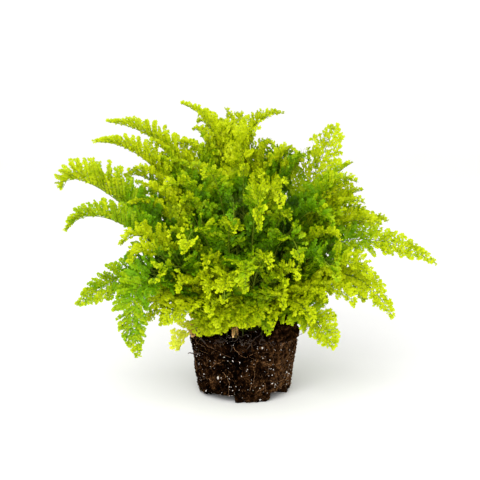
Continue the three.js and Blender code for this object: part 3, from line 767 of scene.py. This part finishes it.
def leaves_on_rib(piece, rng, settings, frond, root, reach, ahead, lift, bow, length, share):
    """One rib of a frond and its leaves, larger near the stalk, in a soft wave along the rib."""
    falling = LEAF_LEAST + LEAF_MORE * min(1, LEAF_FULL * (1 - share))
    size = settings.leaf_size / MM * frond.open**0.5 * falling
    pairs = max(1, round(length / (size * settings.leaf_gap * frond.open**0.5)))
    along = (np.arange(pairs) + PAIR_FIRST) / (pairs + PAIR_REST)
    line = lambda s: root + length * (np.outer(s, reach) + np.outer(s * s * bow, lift))  # noqa: E731
    corners, faces = tube(line(RIB_PLACES), settings.stalk_width / MM * RIB_WIDTHS, 3)
    piece.add(corners, faces, STALK_SLOT, frond.tone * RIB_TONE_RISE + RIB_TONE)
    at = line(along)
    way = unit(reach + np.outer(2 * bow * along, lift))
    across = unit(ahead - way * (way @ ahead)[:, None])
    face = np.cross(way, across)
    ruffle, twist = settings.ruffle, np.radians(settings.ruffle)
    # Leaves grow younger and lighter along a rib and towards the tip of a frond; the darker foot is partly
    # painted shade deep in the crown.
    tone = frond.tone + TONE_RISE * (along - TONE_MIDDLE) + frond.fade * (share - 0.5)
    tone = tone + rng.normal(0, TONE_SPREAD)
    for hand in (1, -1):
        wave = np.sin(rng.uniform(*TURN) + TILT_STEP * along)
        lean = np.radians(rng.normal(LEAF_LEAN, LEAN_SPREAD, pairs))[:, None]
        tilt = TILT_WAVE * ruffle * wave + rng.normal(0, ruffle * TILT_SPREAD, pairs)
        tilt = np.radians(tilt)[:, None]
        heading = across * hand * np.cos(lean) + way * np.sin(lean)
        heading = unit(heading * np.cos(tilt) + face * np.sin(tilt))
        big = size * (LEAF_FIRST - LEAF_SHRINK * along) * rng.uniform(*LEAF_SIZES, pairs)
        width = unit(np.cross(face, heading))
        add_leaves(piece, rng, at, heading, width, big, twist, tone)
    end, small = line(END_PLACE), np.array([size * END_SIZE])
    add_leaves(piece, rng, end, way[-1:], across[-1:], small, twist, tone[-1] + END_TONE)


def painted_depth_shade(at):
    """Painted shade: leaves deep in the crown are darker than those at its outside, which are lighter."""
    out = np.linalg.norm((at - CROWN_MIDDLE) / CROWN_REACH, axis=-1)
    return DEPTH_SHADE * (np.clip(out, DEEPEST, 1) - DEPTH_EVEN)


def hollowed(at):
    """Which points lie in a hollow, and how far those behind its deep end are shaded."""
    inside, shade = np.zeros(len(at), bool), np.zeros(len(at))
    for end, radius in HOLLOWS:
        away = at - np.array(end)
        along = away @ HOLLOW_WAY
        across = np.linalg.norm(away - np.outer(along, HOLLOW_WAY), axis=1) / radius
        inside |= (along > 0) & (across < 1)
        fading = np.clip(HOLLOW_SHADE_REACH - across, 0, 1)
        shade = np.maximum(shade, HOLLOW_SHADE * (along <= 0) * fading)
    return inside, shade


def add_leaves(piece, rng, at, heading, width, size, twist, tone):
    """Small leaves from given points, each twisted a little about its own stalk and cupped. None grows in a
    hollow."""
    inside, shaded = hollowed(at)
    kept = ~inside
    if not kept.any():
        return
    tone = (np.broadcast_to(tone, len(at)) - shaded)[kept]
    at, heading, width, size = at[kept], heading[kept], width[kept], size[kept]
    n = len(at)
    turn = rng.normal(0, TWIST * twist, n)[:, None]
    face = np.cross(heading, width)
    width, face = width * np.cos(turn) + face * np.sin(turn), face * np.cos(turn) - width * np.sin(turn)
    cup = rng.uniform(*CUP, n)[:, None, None]
    x, y, z = (LEAF_POINTS[None, :, k, None] for k in range(3))
    z = z + cup * (x - CUP_FROM) ** 2 + CUP_ACROSS * cup * y * y
    broad = rng.uniform(*BROAD, n)[:, None, None]
    shape = x * heading[:, None] + y * broad * width[:, None] + z * face[:, None]
    points = at[:, None] + shape * size[:, None, None]
    starts = (np.arange(n) * len(LEAF_POINTS))[:, None, None]
    # The tone of each leaf, darkened by painted shade deep in the crown, with a random spread.
    shade = np.clip(tone + painted_depth_shade(at) + rng.normal(0, LEAF_TONE_SPREAD, n), 0, 1)
    shade = np.repeat(shade, len(LEAF_POINTS))
    piece.add(points, LEAF_FACES[None] + starts, LEAF_SLOT, shade, smooth=False)


# ---- the ball of soil

OUTLINE_STEPS = 180  # rows of its surface, from the middle of the underside to the top of the crown
EDGE_IN, EDGE_UP, RIM_IN, RIM_DOWN = 1.4, 0.9, 0.9, 0.6  # the knots that round its lower edge and its rim
WALL_KNOTS, CROWN_KNOTS = (20, 40), (0.93, 0.8, 0.6, 0.4, 0.2, 0)  # heights, and shares of the rim's radius
COLUMNS, SLOT_LIP, COLUMN_GAP = 380, 0.12, 0.4  # round the ball, and in degrees beside a slot
# The soil's tone is painted shade: lighter on top of its crumbs and darker in the gaps between them.
SOIL_TONE, SOIL_TONE_RISE, ON_TABLE = 0.3, 0.6, 0.05
GRAIN_ROWS, FIBRE_ROWS, ROOT_ROWS = (46, 176), (50, 174), (46, 140)  # where each may lie
ROOT_FIRST = (54, 126)  # where a root may begin


def ball_outline():
    """The ball's profile from the middle of its underside to the top of its crown, as in the solids, with
    rounded edges, at steps of about a millimetre."""
    wall = lambda z: BASE_RADIUS + (RIM_RADIUS - BASE_RADIUS) * z / RIM_HEIGHT  # noqa: E731
    knots = [(0, 0), (BASE_RADIUS - EDGE, 0), (wall(1) - EDGE_IN, EDGE_UP), (wall(EDGE), EDGE)]
    knots += [(wall(z), z) for z in (*WALL_KNOTS, RIM_HEIGHT - EDGE)]
    knots += [(wall(RIM_HEIGHT) - RIM_IN, RIM_HEIGHT - RIM_DOWN)]
    knots += [(s * RIM_RADIUS, float(mound_height(s * RIM_RADIUS))) for s in CROWN_KNOTS]
    knots = np.array(knots, float)
    along = np.concatenate([[0], np.cumsum(np.linalg.norm(np.diff(knots, axis=0), axis=1))])
    step = np.linspace(0, along[-1], OUTLINE_STEPS)
    return np.stack([np.interp(step, along, knots[:, k]) for k in (0, 1)], -1)


def lump(azimuth, height):
    """How far the side's lumps stand out, from about -1 to 1: the same sum of waves as in the solids."""
    broad = np.sin(3 * azimuth + height / 9) * np.cos(2 * azimuth - height / 14)
    fine = np.sin(11 * azimuth + height / 5) * np.sin(height / 3.7 + 5 * azimuth)
    return 0.6 * broad + 0.4 * fine


def notch_height(azimuth):
    """How high the slot of the base is at azimuths in degrees, and 0 between slots."""
    turn = 360 / NOTCHES
    inside = np.abs((azimuth - NOTCH_FIRST + turn / 2) % turn - turn / 2) < NOTCH_ANGLE / 2
    which = np.round((azimuth - NOTCH_FIRST) / turn).astype(int) % NOTCHES
    return inside * np.array(NOTCH_HEIGHTS)[which]


def columns():
    """Azimuths round the ball in degrees, with a close pair at each side of a slot so that it stays sharp."""
    middles = [NOTCH_FIRST + k * 360 / NOTCHES for k in range(NOTCHES)]
    edges = [middle + side * NOTCH_ANGLE / 2 for middle in middles for side in (-1, 1)]
    pairs = np.array([edge + side * SLOT_LIP for edge in edges for side in (-1, 1)]) % 360
    even = np.linspace(0, 360, COLUMNS, endpoint=False)
    near = np.abs((even[:, None] - pairs[None] + 180) % 360 - 180).min(1)
    return np.sort(np.concatenate([even[near > COLUMN_GAP], pairs]))


CLUMP, GRIT, CRUMB, SMALL_CRUMB = 0.13, 0.5, 0.26, 0.6  # features to a millimetre


def crumb_height(point):
    """How far the soil's crumbs stand out at a point, from about 0 in the gaps to 1 on top of them."""
    p = Vector(point)
    broad = noise.noise(p * CLUMP) + 0.5 * noise.noise(p * GRIT)
    crumbs = 0.45 - noise.voronoi(p * CRUMB)[0][0] + 0.5 * (0.4 - noise.voronoi(p * SMALL_CRUMB)[0][0])
    return 0.4 + 0.5 * broad + 1.2 * crumbs


def soil_grid(settings):
    """The ball's surface as rows of points with lumps, slots and crumbs, its way out at each, and its tone,
    which is painted shade: darker in the gaps between crumbs.
    """
    outline, azimuth = ball_outline(), columns()
    along = np.gradient(outline, axis=0)
    along /= np.linalg.norm(along, axis=1, keepdims=True)
    out, up = (np.repeat(outline[:, k, None], len(azimuth), 1) for k in (0, 1))
    turn = np.repeat(np.radians(azimuth)[None], len(outline), 0)
    out = out + np.where((up > 0.2) & (out > 1), LUMP * lump(turn, up) - LEAN * np.cos(turn), 0)
    slot = notch_height(azimuth)[None] * np.clip((out - (BASE_RADIUS - NOTCH_DEPTH)) / NOTCH_SOFT, 0, 1)
    worn = np.exp(-(((azimuth - WORN_ANGLE) / WORN_SPREAD) ** 2))[None]
    worn = worn * np.clip((out - BASE_RADIUS + WORN_DEPTH) / WORN_SOFT, 0, 1)
    up = np.maximum(up, np.maximum(slot, WORN_HEIGHT * worn))
    grid = np.stack([out * np.cos(turn), out * np.sin(turn), up], -1)
    level = along[:, 1:]
    fall = np.repeat(-along[:, :1], len(azimuth), 1)
    normal = np.stack([level * np.cos(turn), level * np.sin(turn), fall], -1)
    rough = settings.crumb_height / MM
    height = np.zeros(up.shape)
    for row in range(len(outline)):
        for k in range(len(azimuth)):
            height[row, k] = crumb_height(grid[row, k])
    tone = np.clip(SOIL_TONE + SOIL_TONE_RISE * height, 0, 1)
    height[up < ON_TABLE] = 0  # what stands on the table stays flat
    grid += normal * (rough * height)[..., None]
    grid[..., 2] = np.maximum(grid[..., 2], 0)
    return grid, normal, tone


def grid_faces(rows, around):
    """The triangles between rows of points that each go right round."""
    faces = []
    for r in range(rows - 1):
        for k in range(around):
            a, b = r * around + k, r * around + (k + 1) % around
            faces += [(a, b, a + around), (b, b + around, a + around)]
    return faces


# Clods heaped at the right of the rim: the middle and the radius of each.
CLODS = [
    ((24, -45, 71), 5.5),
    ((31, -43, 75), 6),
    ((37, -37, 80), 7),
    ((43, -32, 82), 6.5),
    ((47, -27, 78), 6),
    ((50, -21, 71), 5.5),
    ((41, -37, 70), 7),
    ((34, -42, 69), 6),
    ((47, -29, 69), 6),
    ((51, -15, 66), 5),
    ((39, -34, 89), 3.5),
]
CLOD_CRUMBS = 0.35  # how far a crumb stands out of a clod, as a share of its radius
# The tone of a clod, as on the ball: painted shade in the gaps between its crumbs.
CLOD_TONE, CLOD_TONE_RISE = 0.2, 0.5

# How the small things on the ball vary. A pair is the least and the most of an even draw, unless said.
GRAIN_SEED, GRAIN_LOG_SIZE = 41, (-0.2, 0.42)  # mean and spread of the logarithm of a grain's size
GRAIN_ROUGH, GRAIN_RANGE, GRAIN_STRETCH = 0.28, (0.6, 1.4), (0.7, 1.2)
GRAIN_OUT, GRAIN_CLEAR = 0.15, 1.5  # how far a grain stands out, and how far up it keeps from the table
FIBRE_SEED, FIBRE_HALF, FIBRE_OUT = 63, (0.8, 2.6), (-0.1, 0.3)
FIBRE_BOW, FIBRE_BEND, FIBRE_THICK = (0, 0.9), (-0.7, 0.7), (0.1, 0.24)
FIBRE_RADII, FIBRE_CLEAR = np.array([0.5, 1, 0.4]), 0.3
ROOT_SEED, ROOT_STEPS, ROOT_THICK, ROOT_SHORTEST = 97, (8, 22), (0.5, 1.3), 4
ROOT_WANDER, ROOT_CLIMB, ROOT_ROUND, ROOT_OUT = 0.35, 1.7, 2.0, 0.1
MAT_AZIMUTH, MAT_HEADING = (338, 20), (1.2, 0.5)  # mean and spread of where matted roots lie and head

# Dead lines at the rim: the knots and the radius of each, which tapers to its tip.
DEAD_STEPS, DEAD_TIP, STUB_STEPS, STUB_TIP, ROOT_TIP = 14, 0.45, 7, 0.3, 0.5
DEAD_LINES = {
    "stem": ([(-40, -42, 62), (-46, -50, 72), (-49, -55, 80), (-47, -60, 84)], 0.7),
    "stub": ([(-44, -30, 48), (-52, -33, 49), (-56, -34, 50), (-58, -35, 49)], 0.8),
    "loop": ([(52, -10, 64), (59, -12, 64), (63, -14, 68), (64, -14, 73), (58, -12, 75)], 0.3),
    "curl": ([(55, -8, 74), (60, -11, 76), (63, -12, 74), (65, -13, 77)], 0.8),
}

# Stubs of dead root along the front of the rim.
STUB_COUNT, STUB_FROM, STUB_TO, STUB_SEED = 110, 236, 342, 29
STUB_OUT, STUB_UP, STUB_LENGTH, STUB_THICK = (46, 56), (-2, 8), (3, 8), (0.3, 0.75)
STUB_OUTWARD, STUB_SPREAD, STUB_BEND, STUB_TONE = 0.7, 0.6, 0.8, (0, 0.2)

# Old, middle and young colours of the ageing leaves.
YELLOWS = ((0.6, 0.66, 0.02), (0.8, 0.86, 0.05), (0.9, 0.94, 0.12))
TANS = ((0.3, 0.13, 0.03), (0.6, 0.34, 0.1), (0.8, 0.58, 0.26))


# ---- what lies on the ball


def clods():
    """The clods at the right of the rim: balls with the crumbs of the soil on them, and painted shade in the
    gaps between the crumbs.
    """
    ball = bmesh.new()
    bmesh.ops.create_icosphere(ball, subdivisions=4, radius=1)
    way = np.array([v.co for v in ball.verts])
    faces = [tuple(v.index for v in face.verts) for face in ball.faces]
    ball.free()
    piece = Piece()
    for middle, radius in CLODS:
        points = np.array(middle) + way * radius
        height = np.array([crumb_height(p) for p in points])
        crumbs = way * (CLOD_CRUMBS * radius * height)[:, None]
        piece.add(points + crumbs, faces, 0, np.clip(CLOD_TONE + CLOD_TONE_RISE * height, 0, 1))
    return piece


def add_stub(piece, rng):
    """Adds one stub of dead root, which points out of the rim more or less."""
    turn, out = math.radians(rng.uniform(STUB_FROM, STUB_TO)), rng.uniform(*STUB_OUT)
    outward = np.array([math.cos(turn), math.sin(turn), 0])
    start = np.array([out * outward[0], out * outward[1], float(mound_height(out)) + rng.uniform(*STUB_UP)])
    way = unit(outward * STUB_OUTWARD + rng.normal(0, STUB_SPREAD, 3)) * rng.uniform(*STUB_LENGTH)
    line = np.array([start, start + way * 0.5 + rng.normal(0, STUB_BEND, 3), start + way])
    thick = rng.uniform(*STUB_THICK)
    corners, faces = tube(smooth_line(line, STUB_STEPS), thick * np.linspace(1, STUB_TIP, STUB_STEPS), 5)
    piece.add(corners, faces, 0, rng.uniform(*STUB_TONE))


def pebble():
    """A rough pebble: a box with its corners and faces pulled to a ball."""
    corners = [(x, y, z) for x in (-1, 1) for y in (-1, 1) for z in (-1, 1)]
    middles = [(1, 0, 0), (-1, 0, 0), (0, 1, 0), (0, -1, 0), (0, 0, 1), (0, 0, -1)]
    points = unit(np.array(corners + middles, float))
    faces = []
    for number, middle in enumerate(middles):
        axis = next(k for k in range(3) if middle[k])
        ring = [k for k, c in enumerate(corners) if c[axis] == middle[axis]]
        u, v = [k for k in range(3) if k != axis]
        ring.sort(key=lambda k: math.atan2(corners[k][v], corners[k][u]))
        first, second = (points[ring[k]] - points[ring[0]] for k in (1, 2))
        outward = np.cross(first, second) @ np.array(middle)
        ring = ring if outward > 0 else ring[::-1]
        faces += [(8 + number, ring[k], ring[(k + 1) % 4]) for k in range(4)]
    return points, faces


def root_line(grid, normal, rng, row, turn, heading, steps):
    """A root that wanders over the soil from one point."""
    around = grid.shape[1]
    line = []
    for _ in range(steps):
        if not ROOT_ROWS[0] < row < ROOT_ROWS[1]:
            break
        k = int(round(turn / 360 * around)) % around
        line.append(grid[int(round(row)), k] + normal[int(round(row)), k] * ROOT_OUT)
        heading += rng.normal(0, ROOT_WANDER)
        row += ROOT_CLIMB * math.sin(heading)
        turn += ROOT_ROUND * math.cos(heading)
    return smooth_line(np.array(line), 2 * len(line)) if len(line) >= ROOT_SHORTEST else line


def smooth_line(knots, count):
    """Points at even steps on a smooth line through knots."""
    t = np.linspace(0, len(knots) - 1, count)
    k = np.clip(t.astype(int), 0, len(knots) - 2)
    f = (t - k)[:, None]
    padded = np.vstack([2 * knots[0] - knots[1], knots, 2 * knots[-1] - knots[-2]])
    a, b, c, d = (padded[k + n] for n in range(4))
    square = 2 * a - 5 * b + 4 * c - d
    return 0.5 * (2 * b + (c - a) * f + square * f**2 + (3 * b - a - 3 * c + d) * f**3)


WAVE_HEIGHT, WAVE_STEP, WAVE_APART = 0.7, 0.45, 7.3


def noise_wave(count, seed):
    """A soft wave along a dead line, another one for each seed."""
    places = [Vector((k * WAVE_STEP, seed * WAVE_APART, 0)) for k in range(count)]
    return np.array([WAVE_HEIGHT * noise.noise(place) for place in places])


# ---- studio

SOFTBOX_PLACE, SOFTBOX_AIM, SOFTBOX_SIZE = (-0.35, -1.6, 1.15), (0, 0, 0.15), (1.8, 1.2)
SENSOR_WIDTH = 36  # of the camera, in millimetres
FLOOR_CLOUD, FLOOR_SHADE = 9, 0.985  # clouds to a metre, and how dark they are beside the floor


def softbox(name, place, aim, size, power):
    """A large soft lamp that is aimed at a point."""
    box = bpy.data.lights.new(name, "AREA")
    box.shape, box.size, box.size_y, box.energy = "RECTANGLE", *size, power
    lamp = bpy.data.objects.new(name, box)
    lamp.location = place
    lamp.rotation_euler = (Vector(aim) - Vector(place)).to_track_quat("-Z", "Y").to_euler()
    bpy.context.scene.collection.objects.link(lamp)


def sweep(colour):
    """A pale floor that runs up into a backdrop."""
    near, bend, radius, high, half = -3.0, 1.6, 1.2, 3.2, 3.5
    turns = np.linspace(-math.pi / 2, 0, 13)
    line = [(near, 0)] + [(bend + radius * math.cos(a), radius + radius * math.sin(a)) for a in turns]
    line += [(bend + radius, high)]
    points = [(x, y, z) for y, z in line for x in (-half, half)]
    faces = [(2 * k, 2 * k + 1, 2 * k + 3, 2 * k + 2) for k in range(len(line) - 1)]
    mesh = bpy.data.meshes.new("floor")
    mesh.from_pydata(points, [], faces)
    mesh.polygons.foreach_set("use_smooth", [True] * len(faces))
    low = tuple(c * FLOOR_SHADE for c in colour)
    mesh.materials.append(plain_look("floor", low, colour, 0.75, scale=FLOOR_CLOUD, height=0.0))
    floor = bpy.data.objects.new("floor", mesh)
    bpy.context.scene.collection.objects.link(floor)
    return floor


# ---- settings


def length_setting(name, description, default):
    return FloatProperty(name=name, description=description, default=default, unit="LENGTH")


def count_setting(name, description, default):
    return IntProperty(name=name, description=description, default=default, min=0)


def colour_setting(name, description, default):
    return FloatVectorProperty(name=name, description=description, default=default, subtype="COLOR")


def share_setting(name, description, default):
    return FloatProperty(name=name, description=description, default=default, min=0, max=1)


class SoilSettings(bpy.types.PropertyGroup):
    crumb_height: length_setting("Crumb height", "How far crumbs stand out", 0.0019)
    grain_count: count_setting("White grains", "Grains at the ball's surface", 760)
    grain_size: length_setting("Grain size", "Mean width of a white grain", 0.00095)
    root_count: count_setting("Roots", "Roots that run over the ball", 130)
    root_width: length_setting("Root width", "Thickness of a root", 0.0003)
    fibre_count: count_setting("Fibres", "Short fibres of peat", 900)
    dark: colour_setting("Peat", "Colour of moist peat", (0.0005, 0.0003, 0.00025))
    brown: colour_setting("Fibre", "Colour of brown fibre", (0.018, 0.007, 0.0024))
    rooty: colour_setting("Root mat", "Colour where roots have matted", (0.18, 0.085, 0.03))


class LeafSettings(bpy.types.PropertyGroup):
    rib_step: length_setting("Rib step", "From one rib of a frond to the next", 0.0046)
    leaf_size: length_setting("Leaf size", "Length of a small leaf near the stalk", 0.0041)
    leaf_gap: FloatProperty(
        name="Leaf gap", description="From one leaf to the next, in lengths of a leaf", default=0.53, min=0.2
    )
    stalk_width: length_setting("Stalk width", "Thickness of a stalk at its foot", 0.0019)
    bare_share: share_setting("Bare share", "Share of a frond without leaves", 0.12)
    ruffle: FloatProperty(
        name="Ruffle", description="How far leaves are turned, in degrees", default=19, min=0, max=60
    )
    old: colour_setting("Old", "Oldest green", (0.011, 0.05, 0.0005))
    middle: colour_setting("Middle", "Common green", (0.172, 0.38, 0.001))
    young: colour_setting("Young", "Youngest green", (0.64, 0.7, 0.003))
    through: colour_setting("Lit through", "Colour of light that comes through a leaf", (0.49, 0.69, 0.002))
    through_share: share_setting("Thinness", "Share of light let through", 0.42)


class StudioSettings(bpy.types.PropertyGroup):
    camera_place: FloatVectorProperty(
        name="Camera",
        description="Where the camera stands",
        subtype="TRANSLATION",
        default=(-0.0049, -1.4099, 0.4447),
    )
    camera_pitch: FloatProperty(
        name="Camera pitch", description="How far it looks down", subtype="ANGLE", default=math.radians(11.4)
    )
    lens: FloatProperty(name="Lens", description="Focal length", default=105, unit="CAMERA")
    sky: FloatProperty(name="Sky", description="Strength of the even light", default=1.2, min=0)
    front: FloatProperty(
        name="Softbox", description="Power of the softbox by the camera", default=40, min=0, unit="POWER"
    )
    floor: colour_setting("Floor", "Colour of the floor", (0.8, 0.797, 0.787))


SETTINGS = {"fern_soil": SoilSettings, "fern_leaves": LeafSettings, "fern_studio": StudioSettings}


# ---- operators, one for each piece or group of like pieces


class FERN_OT_root_ball(bpy.types.Operator):
    """Rebuild the ball of soil with crumbs, slots and a flat underside"""

    bl_idname = "fern.root_ball"
    bl_label = "Root ball"

    def execute(self, context):
        settings = context.scene.fern_soil
        grid, _, tone = soil_grid(settings)
        rows, around = grid.shape[:2]
        piece = Piece()
        piece.add(grid, grid_faces(rows, around), 0, tone.ravel())
        look = soil_look(tuple(settings.dark), tuple(settings.brown), tuple(settings.rooty))
        made = piece.build("soil_ball", [look], "soil")
        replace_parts(made, "root_ball")
        clods().build("soil_clods", [look], "soil")
        return {"FINISHED"}


class FERN_OT_soil_grains(bpy.types.Operator):
    """Scatter white mineral grains over the soil, half sunk in it"""

    bl_idname = "fern.soil_grains"
    bl_label = "White grains"

    def execute(self, context):
        settings = context.scene.fern_soil
        grid, normal, _ = soil_grid(settings)
        rng = np.random.default_rng(GRAIN_SEED)
        rows = rng.integers(*GRAIN_ROWS, settings.grain_count)
        turns = rng.integers(0, grid.shape[1], settings.grain_count)
        ball, faces = pebble()
        piece = Piece()
        for row, turn in zip(rows, turns):
            size = settings.grain_size / MM / 2 * rng.lognormal(*GRAIN_LOG_SIZE)
            rough = (1 + GRAIN_ROUGH * rng.normal(0, 1, (len(ball), 1))).clip(*GRAIN_RANGE)
            shape = ball * rough * rng.uniform(*GRAIN_STRETCH, 3)
            place = grid[row, turn] + normal[row, turn] * size * GRAIN_OUT
            place[2] = max(place[2], size * GRAIN_CLEAR)
            piece.add(place + shape * size, faces, smooth=False)
        look = plain_look("white_grain", (0.3, 0.26, 0.22), (0.8, 0.77, 0.73), 0.8)
        piece.build("soil_grains", [look], "soil")
        return {"FINISHED"}


class FERN_OT_peat_fibres(bpy.types.Operator):
    """Strew short fibres of peat over the ball, as dark as it or a little browner"""

    bl_idname = "fern.peat_fibres"
    bl_label = "Peat fibres"

    def execute(self, context):
        settings = context.scene.fern_soil
        grid, normal, _ = soil_grid(settings)
        rng = np.random.default_rng(FIBRE_SEED)
        piece = Piece()
        for _ in range(settings.fibre_count):
            row, turn = rng.integers(*FIBRE_ROWS), rng.integers(0, grid.shape[1])
            out = normal[row, turn]
            flat = unit(np.cross(out, rng.normal(0, 1, 3)))
            half = flat * rng.uniform(*FIBRE_HALF)
            middle = grid[row, turn] + out * rng.uniform(*FIBRE_OUT)
            bend = out * rng.uniform(*FIBRE_BOW) + np.cross(out, flat) * rng.uniform(*FIBRE_BEND)
            line = np.array([middle - half, middle + bend, middle + half])
            line[:, 2] = np.maximum(line[:, 2], FIBRE_CLEAR)
            corners, faces = tube(line, FIBRE_RADII * rng.uniform(*FIBRE_THICK), 3)
            piece.add(corners, faces, 0, rng.uniform(0, 1) ** 2)
        look = stalk_look("peat_fibre", (0.006, 0.003, 0.002), (0.2, 0.1, 0.04))
        piece.build("peat_fibres", [look], "soil")
        return {"FINISHED"}


class FERN_OT_surface_roots(bpy.types.Operator):
    """Lay roots over the ball, closest together where they have matted on its right side"""

    bl_idname = "fern.surface_roots"
    bl_label = "Roots"

    def execute(self, context):
        settings = context.scene.fern_soil
        grid, normal, _ = soil_grid(settings)
        rng = np.random.default_rng(ROOT_SEED)
        piece = Piece()
        for number in range(settings.root_count):
            matted = number % 2
            turn = rng.normal(*MAT_AZIMUTH) if matted else rng.uniform(0, 360)
            row = rng.uniform(*ROOT_FIRST)
            heading = rng.normal(*MAT_HEADING) if matted else rng.uniform(-math.pi, math.pi)
            line = root_line(grid, normal, rng, row, turn, heading, int(rng.uniform(*ROOT_STEPS)))
            if len(line) < ROOT_SHORTEST:
                continue
            thick = settings.root_width / MM / 2 * rng.uniform(*ROOT_THICK)
            corners, faces = tube(line, thick * np.linspace(1, ROOT_TIP, len(line)), 5)
            piece.add(corners, faces, 0, rng.uniform(0, 1))
        look = stalk_look("root", (0.06, 0.026, 0.009), (0.34, 0.18, 0.08))
        piece.build("surface_roots", [look], "soil")
        return {"FINISHED"}


class FERN_OT_dead_bits(bpy.types.Operator):
    """Add the dead black stem, the loose bits at the rim and the thin loop of root"""

    bl_idname = "fern.dead_bits"
    bl_label = "Dead stems"

    def execute(self, context):
        piece = Piece()
        for number, (line, thick) in enumerate(DEAD_LINES.values()):
            points = smooth_line(np.array(line, float), DEAD_STEPS)
            wave = np.stack([noise_wave(len(points), number * 3 + k) for k in range(3)], -1)
            corners, faces = tube(points + wave, thick * np.linspace(1, DEAD_TIP, len(points)))
            piece.add(corners, faces)
        rng = np.random.default_rng(STUB_SEED)
        for _ in range(STUB_COUNT):
            add_stub(piece, rng)
        look = plain_look("dead_stem", (0.006, 0.004, 0.003), (0.06, 0.03, 0.015), 0.75)
        piece.build("dead_bits", [look], "soil")
        return {"FINISHED"}


class FERN_OT_green_fronds(bpy.types.Operator):
    """Grow the green fronds leaf by leaf"""

    bl_idname = "fern.green_fronds"
    bl_label = "Green fronds"

    def execute(self, context):
        settings = context.scene.fern_leaves
        greens = [tuple(colour) for colour in (settings.old, settings.middle, settings.young)]
        leaf = leaf_look("green_leaf", greens, tuple(settings.through), settings.through_share, 0.5)
        stalk = stalk_look("stalk", (0.018, 0.022, 0.003), (0.2, 0.28, 0.008))
        for frond in FRONDS + BACK_FRONDS:
            build_frond(frond, settings, [leaf, stalk], "frond_" + frond.name)
        for k in range(0, len(YOUNG_FRONDS), YOUNG_IN_PIECE):
            piece = Piece()
            for young_frond in YOUNG_FRONDS[k : k + YOUNG_IN_PIECE]:
                grow_frond(young_frond, settings, piece)
            piece.build(f"leaves_young_{k // YOUNG_IN_PIECE + 1}", [leaf, stalk], "green_leaf")
        return {"FINISHED"}


class FERN_OT_old_fronds(bpy.types.Operator):
    """Grow the yellow frond and the dried ones at the rim"""

    bl_idname = "fern.old_fronds"
    bl_label = "Old fronds"

    def execute(self, context):
        settings = context.scene.fern_leaves
        yellow = leaf_look("yellow_leaf", YELLOWS, (0.95, 0.97, 0.15), 0.45, 0.55)
        dry = leaf_look("dry_leaf", TANS, (0.8, 0.5, 0.18), 0.3, 0.8)
        stalk = stalk_look("old_stalk", (0.1, 0.05, 0.02), (0.5, 0.42, 0.08))
        for frond in OLD_FRONDS:
            leaf = yellow if frond.shade == "yellow_leaf" else dry
            build_frond(frond, settings, [leaf, stalk], frond.name)
        return {"FINISHED"}


class FERN_OT_studio(bpy.types.Operator):
    """Set up the pale sweep, the soft light and the camera"""

    bl_idname = "fern.studio"
    bl_label = "Studio"

    def execute(self, context):
        settings = context.scene.fern_studio
        sweep(tuple(settings.floor))
        world = bpy.data.worlds.new("even_light")
        world.use_nodes = True
        world.node_tree.nodes["Background"].inputs["Color"].default_value = (1, 1, 1, 1)
        world.node_tree.nodes["Background"].inputs["Strength"].default_value = settings.sky
        context.scene.world = world
        softbox("softbox", SOFTBOX_PLACE, SOFTBOX_AIM, SOFTBOX_SIZE, settings.front)
        eye = bpy.data.cameras.new("camera")
        eye.lens, eye.sensor_width = settings.lens, SENSOR_WIDTH
        camera = bpy.data.objects.new("camera", eye)
        camera.location = settings.camera_place
        camera.rotation_euler = (math.pi / 2 - settings.camera_pitch, 0, 0)
        context.scene.collection.objects.link(camera)
        context.scene.camera = camera
        context.scene.view_settings.view_transform = "Standard"
        return {"FINISHED"}


OPERATORS = [
    FERN_OT_root_ball,
    FERN_OT_soil_grains,
    FERN_OT_peat_fibres,
    FERN_OT_surface_roots,
    FERN_OT_dead_bits,
    FERN_OT_green_fronds,
    FERN_OT_old_fronds,
    FERN_OT_studio,
]


class FERN_PT_panel(bpy.types.Panel):
    bl_label = "Ruffled fern"
    bl_idname = "FERN_PT_panel"
    bl_space_type = "VIEW_3D"
    bl_region_type = "UI"
    bl_category = "Fern"

    def draw(self, context):
        for name, group in SETTINGS.items():
            box = self.layout.box()
            for key in group.__annotations__:
                box.prop(getattr(context.scene, name), key)
        for operator in OPERATORS:
            self.layout.operator(operator.bl_idname)


def register():
    for thing in (*SETTINGS.values(), *OPERATORS, FERN_PT_panel):
        bpy.utils.register_class(thing)
    for name, group in SETTINGS.items():
        setattr(bpy.types.Scene, name, PointerProperty(type=group))


def unregister():
    for name in SETTINGS:
        delattr(bpy.types.Scene, name)
    for thing in (FERN_PT_panel, *reversed(OPERATORS), *SETTINGS.values()):
        bpy.utils.unregister_class(thing)


def main():
    register()
    for operator in OPERATORS:
        group, name = operator.bl_idname.split(".")
        getattr(getattr(bpy.ops, group), name)()


if __name__ == "__main__":
    main()
